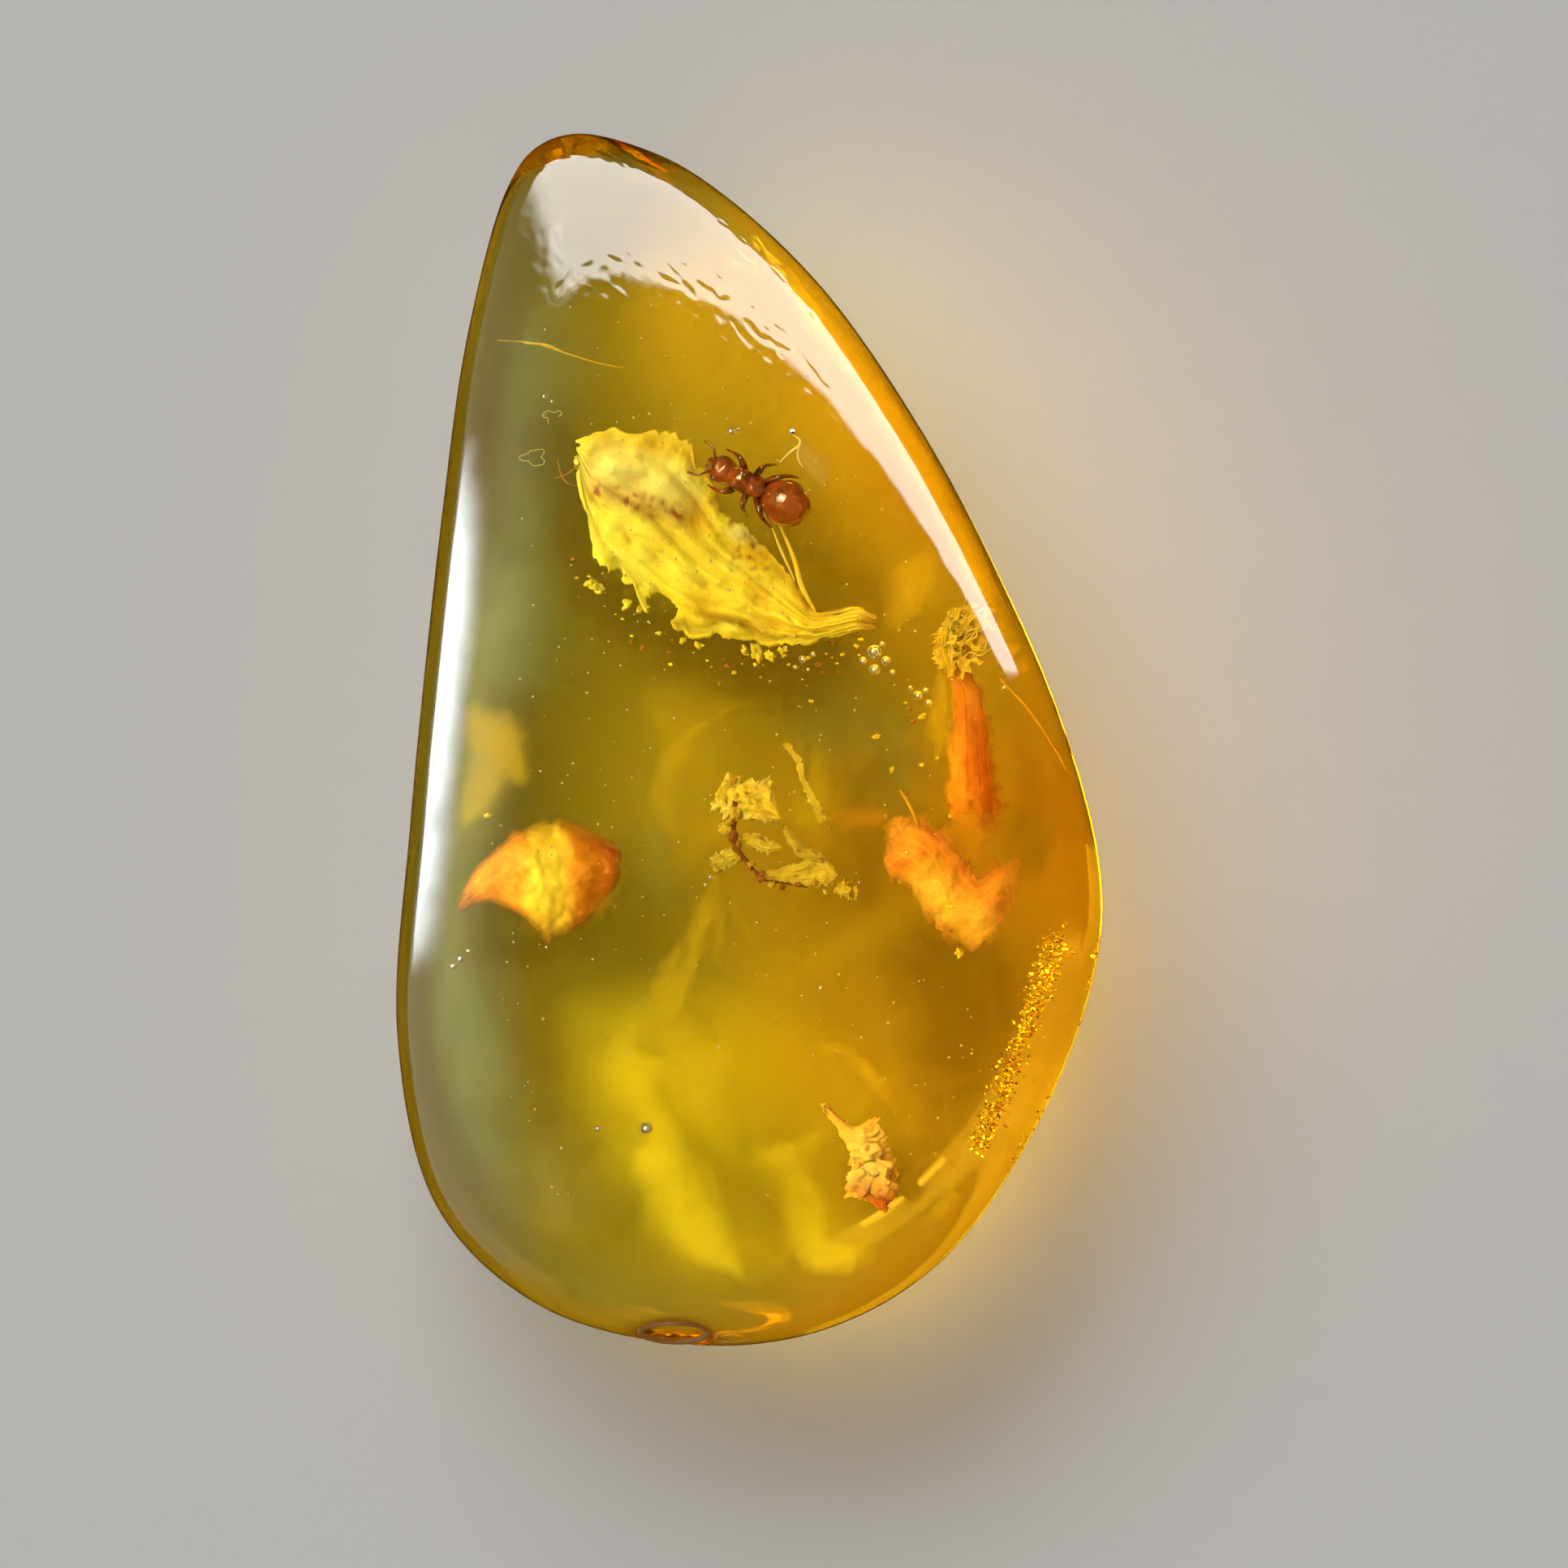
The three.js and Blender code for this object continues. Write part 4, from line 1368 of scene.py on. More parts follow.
@dataclass
class Haze:
    """Clouds of micro-bubbles as wavy veils that lie over each other, among them dark veils of painted shade
    and bright veils of painted glow.
    """

    shape: DropShape
    name: str
    finish: HazeFinish
    wisps: tuple[Wisp, ...]
    levels: tuple[float, ...]
    cell: float
    swirl: float
    streaks: float
    wave: float = 0.4
    least: float = 0.03
    most: float = 0.29
    thickening: float = 1.15
    rim: Place = (0.94, 0.1)
    taper: float = 0.0
    fray: float = 0.0
    broad_scale: Place = (0.25, 0.2)
    fine_scale: Place = (0.8, 0.3)
    fray_scale: float = 2.4
    streak_scale: Spot = (0.9, 0.35, 0.3)
    steps: int = 24

    def build(self) -> bpy.types.Object:
        """Makes all the veils as one piece."""
        mesh = bmesh.new()
        mesh.verts.layers.float.new("haze")
        mesh.verts.layers.float_color.new("hue")
        for level in self.levels:
            self.add_veil(mesh, level)
        return finished(self.name, mesh, self.finish.material(), Slot.AMBER)

    def density(self, seen: np.ndarray, level: float) -> tuple[np.ndarray, np.ndarray]:
        """Adds up the wisps at some places of a level.

        Args:
            seen: The x and y of each place, as it is seen.
            level: The veil's height.

        Returns:
            How thick the haze is at each place, and its colour there.
        """
        total = np.full(len(seen), 1e-9)
        colour = np.zeros((len(seen), 3))
        steps = np.linspace(0, 1, self.steps)
        fullness = 1 - self.taper * (1 - np.sin(np.pi * steps))
        for wisp in self.wisps:
            here = wisp.strength * math.exp(-(((level - wisp.level) / wisp.depth) ** 2))
            line = Curve(wisp.path).at(steps)
            gaps = np.linalg.norm(seen[:, None, :] - line[None], axis=2)
            full = fullness[gaps.argmin(axis=1)]
            amount = here * full * np.exp(-((gaps.min(axis=1) / (wisp.spread * full)) ** 2))
            total += amount
            colour += amount[:, None] * np.array(wisp.hue.value)
        return total, colour / total[:, None]

    def add_veil(self, mesh: bmesh.types.BMesh, level: float) -> None:
        """Adds one veil to a mesh, where there is haze.

        Args:
            mesh: The mesh that gets it.
            level: The veil's height.
        """
        own = bmesh.new()
        haze_layer = own.verts.layers.float.new("haze")
        hue_layer = own.verts.layers.float_color.new("hue")
        half = np.array([self.shape.width, self.shape.length]) / 2
        counts = np.round(2 * half / self.cell).astype(int)
        grid = bmesh.ops.create_grid(own, x_segments=int(counts[0]), y_segments=int(counts[1]), size=1.0)
        flat = np.array([vert.co[:2] for vert in grid["verts"]]) * half
        drawn = np.array([self.stirred(Vector((*place, level))) for place in flat])
        total, colours = self.density(flat + drawn[:, :2], level)
        share = self.shape.share(flat[:, 0], flat[:, 1])
        edge, fade = self.rim
        thick = 1 - np.exp(-self.thickening * total * drawn[:, 2] / self.most)
        amounts = self.most * thick * np.clip((edge - share) / fade, 0, 1)
        amounts = np.maximum(amounts - self.least, 0)
        heart = np.array(self.shape.heart)
        inside = heart + (flat - heart) * np.minimum(edge / np.maximum(share, edge), 1)[:, None]
        spots = self.shape.beneath(inside, level)
        spots[:, 2] += self.wave * drawn[:, 3]
        for vert, spot, amount, colour in zip(grid["verts"], spots, amounts, colours):
            vert.co = spot
            vert[haze_layer] = amount
            vert[hue_layer] = (*colour, 1.0)
        bare = [face for face in own.faces if max(vert[haze_layer] for vert in face.verts) == 0]
        bmesh.ops.delete(own, geom=bare, context="FACES")
        add_part(mesh, own)

    def stirred(self, at: Vector) -> tuple[float, float, float, float]:
        """Gives how a place is drawn aside by the haze's swirls and how streaky it is there.

        Args:
            at: The place.

        Returns:
            The shift in x and y, a factor for the haze and the veil's wave.
        """
        aside, up = self.broad_scale
        broad = noise.noise_vector(Vector((at.x * aside, at.y * aside, at.z * up)))
        aside, up = self.fine_scale
        fine = noise.noise_vector(Vector((at.x * aside, at.y * aside, at.z * up + 9)))
        shift = (broad + fine * 0.4) * self.swirl + noise.noise_vector(at * self.fray_scale) * self.fray
        across, down, up = self.streak_scale
        along = Vector((at.x * across + 2 * shift.x, at.y * down + 2 * shift.y, at.z * up + 4))
        streak = noise.noise(along) + 0.5 * noise.noise(along * 2.3)
        return shift.x, shift.y, max(1 + self.streaks * streak, 0.0), broad.z


@dataclass(frozen=True)
class Thread:
    """A fine strand: the places that it is seen to pass, its height, radius and colour.

    A strand with no height lies just under the stone's surface.
    """

    path: tuple[Place, ...]
    level: float | None
    radius: float
    deep: float = 0.0
    pale: float = 0.0
    even: bool = False


def ring(at: Place, half: Place, uneven: float = 0.0) -> tuple[Place, ...]:
    """Gives points round an oval, or an uneven one, back to the first."""
    turns = np.linspace(0, 2 * math.pi, 17)
    reach = 1 + uneven * np.sin(3 * turns + at[1]) + 0.6 * uneven * np.sin(5 * turns + at[0])
    return tuple(zip(at[0] + half[0] * reach * np.cos(turns), at[1] + half[1] * reach * np.sin(turns)))


@dataclass
class Threads:
    """Fine strands of plant and the hairline crack, with the frayed fibres at the bark strip's upper end, and
    two thin pale rings of painted highlight.
    """

    shape: DropShape
    finish: ScrapFinish
    strands: tuple[Thread, ...]
    fibres: int = 22
    fray_at: Place = (8.5, 4.0)
    fray_spread: Place = (0.35, 0.6)
    fray_reach: float = 1.1
    fray_level: float = 7.5
    sunk: float = 0.1

    def build(self) -> bpy.types.Object:
        """Makes all the strands as one piece."""
        mesh = bmesh.new()
        mesh.verts.layers.float.new("deep")
        mesh.verts.layers.float.new("pale")
        for strand in (*self.strands, *self.frayed()):
            self.add(mesh, strand)
        return finished("threads", mesh, self.finish.material(), Slot.FLORET)

    def frayed(self) -> list[Thread]:
        """Strews the fibres of the frayed end, curling up and to the right."""
        chance = np.random.default_rng(17)
        fibres = []
        for _ in range(self.fibres):
            start = chance.normal(self.fray_at, self.fray_spread)
            ahead = chance.uniform(0.1, 1.5)
            step = self.fray_reach * chance.uniform(0.15, 0.45) * np.array([math.cos(ahead), math.sin(ahead)])
            bends = chance.normal(0, 0.07, (4, 2))
            path = tuple(tuple(start + step * k + bends[k]) for k in range(4))
            level = self.fray_level + chance.normal(0, 0.3)
            fibres.append(Thread(path, level, chance.uniform(0.02, 0.05), 0.0, chance.uniform(0.0, 0.6)))
        return fibres

    def add(self, mesh: bmesh.types.BMesh, strand: Thread) -> None:
        """Adds one strand to a mesh, thinner at its ends.

        Args:
            mesh: The mesh that gets it.
            strand: The strand.
        """
        before = len(mesh.verts)
        seen = np.array(strand.path)
        if strand.level is None:
            top = self.shape.dome(self.shape.share(seen[:, 0], seen[:, 1]))
            points = np.column_stack([seen, top - strand.radius - self.sunk])
        else:
            points = self.shape.beneath(seen, strand.level)
        taper = np.sin(np.linspace(0.12, 0.9, len(points)) * math.pi) ** 0.6
        if strand.even:
            taper = np.ones(len(points))
        wobble = [0.75 + 0.5 * abs(noise.noise(Vector(point) * 2.3)) for point in points]
        add_stem(mesh, points, strand.radius * taper * wobble)
        mesh.verts.ensure_lookup_table()
        deep_layer, pale_layer = mesh.verts.layers.float["deep"], mesh.verts.layers.float["pale"]
        for vert in mesh.verts[before:]:
            vert[deep_layer] = strand.deep
            vert[pale_layer] = strand.pale


@dataclass
class Spangles:
    """The band of tiny flakes that flash gold low in the right side of the stone."""

    shape: DropShape
    finish: GoldFinish
    path: tuple[Place, ...] = (
        (12.2, -7.8), (11.7, -9.3), (11.0, -11.2), (10.2, -13.2), (9.5, -15.2), (9.0, -16.2),
    )
    level: float = 5.0
    count: int = 1100
    gathered: Place = (1.3, 1.5)
    spread: float = 0.24
    radii: Place = (0.025, 0.1)
    thickness: float = 0.015
    tilt: float = 0.5

    def build(self) -> bpy.types.Object:
        """Makes all the flakes as one piece."""
        chance = np.random.default_rng(23)
        mesh = bmesh.new()
        along = chance.beta(*self.gathered, self.count)
        seen = Curve(self.path).at(along) + chance.normal(0, self.spread, (self.count, 2))
        spots = self.shape.beneath(seen, self.level + chance.normal(0, 0.3, self.count))
        for spot in spots:
            turn = Euler((*chance.normal(0, self.tilt, 2), chance.uniform(0, 6.28))).to_matrix().to_4x4()
            radius = chance.uniform(*self.radii)
            bmesh.ops.create_cone(
                mesh, cap_ends=True, segments=5, radius1=radius, radius2=radius * 0.8, depth=self.thickness,
                matrix=Matrix.Translation(spot) @ turn @ Matrix.Diagonal((1.0, 0.6, 1.0, 1.0)),
            )
        return finished("spangles", mesh, self.finish.material(), Slot.AMBER, smooth=False)


@dataclass
class Bubbles:
    """The round silvery bubbles, each at x, y, level and radius."""

    shape: DropShape
    finish: SilverFinish
    places: tuple[tuple[float, float, float, float], ...] = (
        (-5.9, -15.2, 10.6, 0.13), (-4.0, -15.2, 10.6, 0.26), (4.9, 3.4, 10.9, 0.3), (5.35, 3.05, 10.8, 0.2),
        (4.45, 3.05, 10.8, 0.17), (4.9, 2.7, 10.8, 0.24), (5.6, 2.6, 10.8, 0.12), (5.2, 3.7, 10.9, 0.12),
        (6.6, 1.7, 10.7, 0.2), (7.0, 1.4, 10.7, 0.15), (6.9, 1.9, 10.7, 0.11), (6.3, 2.0, 10.7, 0.1),
        (2.1, 3.1, 11.1, 0.16), (2.5, 3.3, 11.1, 0.12), (1.8, 2.8, 11.1, 0.1), (2.3, 2.7, 11.1, 0.08),
        (-8.0, 13.4, 10.2, 0.12), (-7.7, 13.2, 10.2, 0.08), (-0.7, 12.0, 11.0, 0.16), (-0.4, 12.1, 11.0, 0.1),
        (1.7, 12.0, 10.9, 0.12), (-1.5, -5.4, 10.8, 0.12), (-1.7, -5.7, 10.8, 0.09), (-11.3, -8.6, 8.6, 0.16),
        (-11.6, -8.9, 8.4, 0.14), (2.8, -9.7, 11.0, 0.1), (-11.0, -8.3, 8.6, 0.1), (10.0, 2.0, 9.0, 0.1),
    )
    specks: int = 420
    speck_radius: float = 0.04
    speck_depth: Place = (0.15, 0.9)
    speck_across: Place = (-10.0, 9.0)
    speck_along: Place = (-18.0, 17.0)
    speck_share: float = 0.85

    def build(self) -> bpy.types.Object:
        """Makes the bubbles and a strewing of tiny ones as one piece."""
        chance = np.random.default_rng(11)
        mesh = bmesh.new()
        for x, y, level, radius in self.places:
            at = self.shape.spot((x, y), level)
            add_lump(mesh, at, (radius, radius * 0.92, radius), fineness=3, roughen=0.06)
        for _ in range(self.specks):
            x, y = chance.uniform(*self.speck_across), chance.uniform(*self.speck_along)
            share = float(self.shape.share(np.array([x]), np.array([y]))[0])
            if share > self.speck_share:
                continue
            level = float(self.shape.dome(np.array([share]))[0]) - chance.uniform(*self.speck_depth)
            add_lump(mesh, (x, y, level), (self.speck_radius * chance.uniform(0.6, 1.3),) * 3, fineness=2)
        return finished("bubbles", mesh, self.finish.material(), Slot.AMBER)


@dataclass
class Crumbs:
    """Crumbs of leaf and bark about the larger scraps, each at x, y, level and size."""

    shape: DropShape
    finish: ScrapFinish
    places: tuple[tuple[float, float, float, float], ...] = (
        (-5.9, 5.9, 8.0, 0.26), (-4.8, 5.3, 8.1, 0.2), (-4.3, 5.1, 7.9, 0.14), (0.3, 3.4, 8.0, 0.28),
        (0.8, 3.3, 8.2, 0.2), (-0.2, 3.5, 7.8, 0.16), (-2.6, 3.9, 7.8, 0.12), (5.0, 0.1, 7.4, 0.12),
        (5.6, -1.2, 7.8, 0.1), (6.8, 0.9, 7.6, 0.12), (-10.3, -3.0, 7.0, 0.1), (8.3, -8.4, 7.0, 0.16),
        (3.0, -6.0, 8.0, 0.1), (-6.2, 6.1, 8.0, 0.2), (-2.0, 3.7, 8.0, 0.14), (1.3, 3.5, 8.1, 0.15),
    )
    strewn: int = 90
    strewn_level: float = 8.0
    brown_below: float = 8.1
    strewn_path: tuple[Place, ...] = (
        (-6.4, 6.4), (-4.2, 4.4), (-1.6, 3.2), (1.6, 2.8), (5.0, 3.6), (8.4, -8.6),
    )
    strewn_spread: float = 0.5
    strewn_sizes: Place = (0.03, 0.11)

    def build(self) -> bpy.types.Object:
        """Makes all the crumbs as one piece."""
        mesh = bmesh.new()
        deep_layer = mesh.verts.layers.float.new("deep")
        for x, y, level, size in self.places:
            at = self.shape.spot((x, y), level)
            add_lump(mesh, at, (size, size * 0.7, size * 0.45), turn=7 * x, roughen=1.3, fineness=3)
        chance = np.random.default_rng(31)
        strewn = Curve(self.strewn_path).at(chance.uniform(0, 1, self.strewn))
        strewn += chance.normal(0, self.strewn_spread, strewn.shape)
        for spot in self.shape.beneath(strewn, self.strewn_level + chance.normal(0, 0.4, self.strewn)):
            size = chance.uniform(*self.strewn_sizes)
            for vert in add_lump(mesh, tuple(spot), (size, size * 0.7, size * 0.6), roughen=1.2, fineness=2):
                vert[deep_layer] = 0.9 if spot[2] < self.brown_below else 0.0
        return finished("crumbs", mesh, self.finish.material(), Slot.LEAF)


@dataclass(frozen=True)
class Panel:
    """An upright soft lamp, which faces the stone and fades towards some of its edges."""

    name: str
    azimuth: float
    distance: float
    left: float
    right: float
    low: float
    high: float
    brightness: float
    shows: Shows
    fade_left: float = 0.0
    fade_right: float = 0.0
    fade_low: float = 0.0
    fade_high: float = 0.0
    tone: Colour = (1.0, 1.0, 1.0)


@dataclass
class Studio:
    """The pale floor, the soft lamps and the camera above the stone."""

    shape: DropShape
    floor_side: float = 6.0
    floor_gap: float = 0.00003
    camera_height: float = 0.34
    sensor: float = 36.0
    clip: Place = (0.01, 20.0)
    room: float = 0.4
    room_tone: Colour = (1.0, 0.985, 0.96)
    bounces: int = 6
    dull_bounces: int = 1
    veils_passed: int = 16
    panels: tuple[Panel, ...] = (
        Panel("tip_panel", 103.0, 0.2, -0.22, 1.1, 0.035, 0.44, 10.5, Shows.GLOSS, 0.12, 0.05, 0.0, 0.15),
        Panel(
            "side_strip", 173.5, 0.3, -0.045, 0.03, -0.1, 0.22, 36.0, Shows.GLOSS, 0.75, 0.4, 0.12, 0.8, COOL,
        ),
        Panel("side_wash", 185.0, 0.3, -0.5, 0.3, -0.15, 0.7, 1.1, Shows.GLOSS, 0.5, 0.4, 0.05, 0.82, COOL),
        Panel("window", 150.0, 0.35, -0.3, 0.35, 0.04, 0.6, 10.0, Shows.DEPTHS),
        Panel("spot", 132.0, 0.3, -0.06, 0.06, 0.34, 0.46, 90.0, Shows.DEPTHS),
        Panel("back_glow", 205.0, 0.35, -0.3, 0.2, 0.0, 0.12, 26.0, Shows.DEPTHS),
        Panel("fill", 120.0, 0.6, -0.4, 0.4, 0.3, 0.9, 3.6, Shows.SURFACES),
    )

    def build(self) -> None:
        """Sets up everything that isn't part of the object."""
        self.floor()
        self.sky()
        for panel in self.panels:
            self.lamp(panel)
        self.camera()
        self.settings()

    def floor(self) -> None:
        """Lays the floor just under the stone."""
        mesh = bmesh.new()
        bmesh.ops.create_grid(mesh, x_segments=1, y_segments=1, size=self.floor_side / 2)
        bmesh.ops.translate(mesh, verts=mesh.verts, vec=(0, 0, -self.floor_gap))
        data = bpy.data.meshes.new("floor")
        mesh.to_mesh(data)
        mesh.free()
        data.materials.append(FloorFinish().material())
        floor = bpy.data.objects.new("floor", data)
        floor.visible_glossy = False
        bpy.context.scene.collection.objects.link(floor)

    def sky(self) -> None:
        """Lights the room evenly."""
        world = bpy.data.worlds.new("room")
        bpy.context.scene.world = world
        world.use_nodes = True
        background = next(node for node in world.node_tree.nodes if node.type == "BACKGROUND")
        background.inputs["Color"].default_value = (*self.room_tone, 1.0)
        background.inputs["Strength"].default_value = self.room
        world.cycles_visibility.glossy = False

    def lamp(self, panel: Panel) -> None:
        """Stands a lamp on the floor.

        Args:
            panel: Its place, size and brightness.
        """
        width, height = panel.right - panel.left, panel.high - panel.low
        light = bpy.data.lights.new(panel.name, "AREA")
        light.shape = "RECTANGLE"
        light.size, light.size_y = width, height
        light.color = panel.tone
        light.energy = panel.brightness * math.pi * width * height
        turn = math.radians(panel.azimuth)
        outward = Vector((math.cos(turn), math.sin(turn), 0))
        rightward = Vector((math.sin(turn), -math.cos(turn), 0))
        lamp = bpy.data.objects.new(panel.name, light)
        lamp.location = outward * panel.distance + rightward * (panel.left + panel.right) / 2
        lamp.location.z = (panel.low + panel.high) / 2
        lamp.rotation_euler = (-outward).to_track_quat("-Z", "Y").to_euler()
        lamp.visible_camera = False
        lamp.visible_diffuse = Shows.SURFACES in panel.shows
        lamp.visible_glossy = Shows.GLOSS in panel.shows
        lamp.visible_transmission = Shows.DEPTHS in panel.shows
        bpy.context.scene.collection.objects.link(lamp)
        self.fade(light, panel)

    def fade(self, light: bpy.types.Light, panel: Panel) -> None:
        """Fades a lamp out towards its edges.

        Args:
            light: The lamp's light.
            panel: How much of its width and height each edge fades over.
        """
        light.use_nodes = True
        nodes, links = light.node_tree.nodes, light.node_tree.links
        glow = next(node for node in nodes if node.type == "EMISSION")
        axes = nodes.new("ShaderNodeSeparateXYZ")
        links.new(nodes.new("ShaderNodeNewGeometry").outputs["Parametric"], axes.inputs["Vector"])
        edges = (
            ("X", 0.0, panel.fade_right),
            ("X", 1.0, -panel.fade_left),
            ("Y", 0.0, panel.fade_low),
            ("Y", 1.0, -panel.fade_high),
        )
        for axis, edge, depth in edges:
            if depth == 0.0:
                continue
            ease = nodes.new("ShaderNodeMapRange")
            ease.interpolation_type = "SMOOTHSTEP"
            ease.inputs["From Min"].default_value = edge
            ease.inputs["From Max"].default_value = edge + depth
            links.new(axes.outputs[axis], ease.inputs["Value"])
            product = nodes.new("ShaderNodeMath")
            product.operation = "MULTIPLY"
            product.inputs[1].default_value = 1.0
            links.new(ease.outputs["Result"], product.inputs[0])
            strength = glow.inputs["Strength"]
            if strength.is_linked:
                links.new(strength.links[0].from_socket, product.inputs[1])
            links.new(product.outputs["Value"], strength)

    def camera(self) -> None:
        """Looks straight down on the stone, framed as it is in the photograph."""
        lens = bpy.data.cameras.new("camera")
        lens.sensor_width = self.sensor
        frame_side = PHOTO_SIDE / PIXELS_PER_MM * MM
        lens.lens = self.sensor * self.camera_height / frame_side
        lens.clip_start, lens.clip_end = self.clip
        camera = bpy.data.objects.new("camera", lens)
        across = (PHOTO_SIDE / 2 - PHOTO_MIDDLE[0]) / PIXELS_PER_MM
        along = (PHOTO_MIDDLE[1] - PHOTO_SIDE / 2) / PIXELS_PER_MM
        camera.location = (across * MM, along * MM, self.camera_height + self.shape.girdle * MM)
        bpy.context.scene.collection.objects.link(camera)
        bpy.context.scene.camera = camera

    def settings(self) -> None:
        """Keeps the picture's colours plain, and says how often light may turn or pass a veil."""
        scene = bpy.context.scene
        scene.view_settings.view_transform = "Standard"
        scene.cycles.transparent_max_bounces = self.veils_passed
        scene.cycles.diffuse_bounces = self.dull_bounces
        scene.cycles.max_bounces = self.bounces


LEAF_FINISH = ScrapFinish(
    "dried_leaf",
    ((1.0, 0.67, 0.04), (1.0, 0.82, 0.08), (1.0, 0.9, 0.16)),
    stain_and_shade_colour=(0.36, 0.11, 0.015),
    bloom=(1.0, 0.94, 0.55),
    shade=(0.85, 0.38, 0.02),
    depth=0.00012,
)
PETAL_FINISH = ScrapFinish(
    "dried_petal",
    ((0.85, 0.28, 0.02), (0.97, 0.38, 0.03), (1.0, 0.48, 0.05)),
    stain_and_shade_colour=(0.5, 0.09, 0.01),
    bloom=(1.0, 0.74, 0.1),
    shade=(0.8, 0.24, 0.01),
    mottle=350.0,
    depth=0.00005,
    melts=True,
)
BARK_FINISH = ScrapFinish(
    "fibrous_bark",
    ((0.7, 0.2, 0.02), (0.9, 0.36, 0.05), (0.98, 0.52, 0.08)),
    stain_and_shade_colour=(0.62, 0.14, 0.015),
    bloom=(1.0, 0.68, 0.12),
    shade=(0.55, 0.12, 0.01),
    fibre=(14.0, 2.0),
    depth=0.0001,
    melts=True,
)
FLORET_FINISH = ScrapFinish(
    "dried_floret",
    ((0.8, 0.45, 0.03), (1.0, 0.7, 0.06), (1.0, 0.84, 0.18)),
    stain_and_shade_colour=(0.28, 0.07, 0.01),
    bloom=(1.0, 0.9, 0.42),
    shade=(0.5, 0.36, 0.03),
)
BUD_FINISH = ScrapFinish(
    "bud_scale",
    ((0.8, 0.4, 0.05), (0.95, 0.62, 0.16), (1.0, 0.76, 0.28)),
    stain_and_shade_colour=(0.6, 0.14, 0.02),
    bloom=(1.0, 0.76, 0.34),
    shade=(0.75, 0.28, 0.03),
)

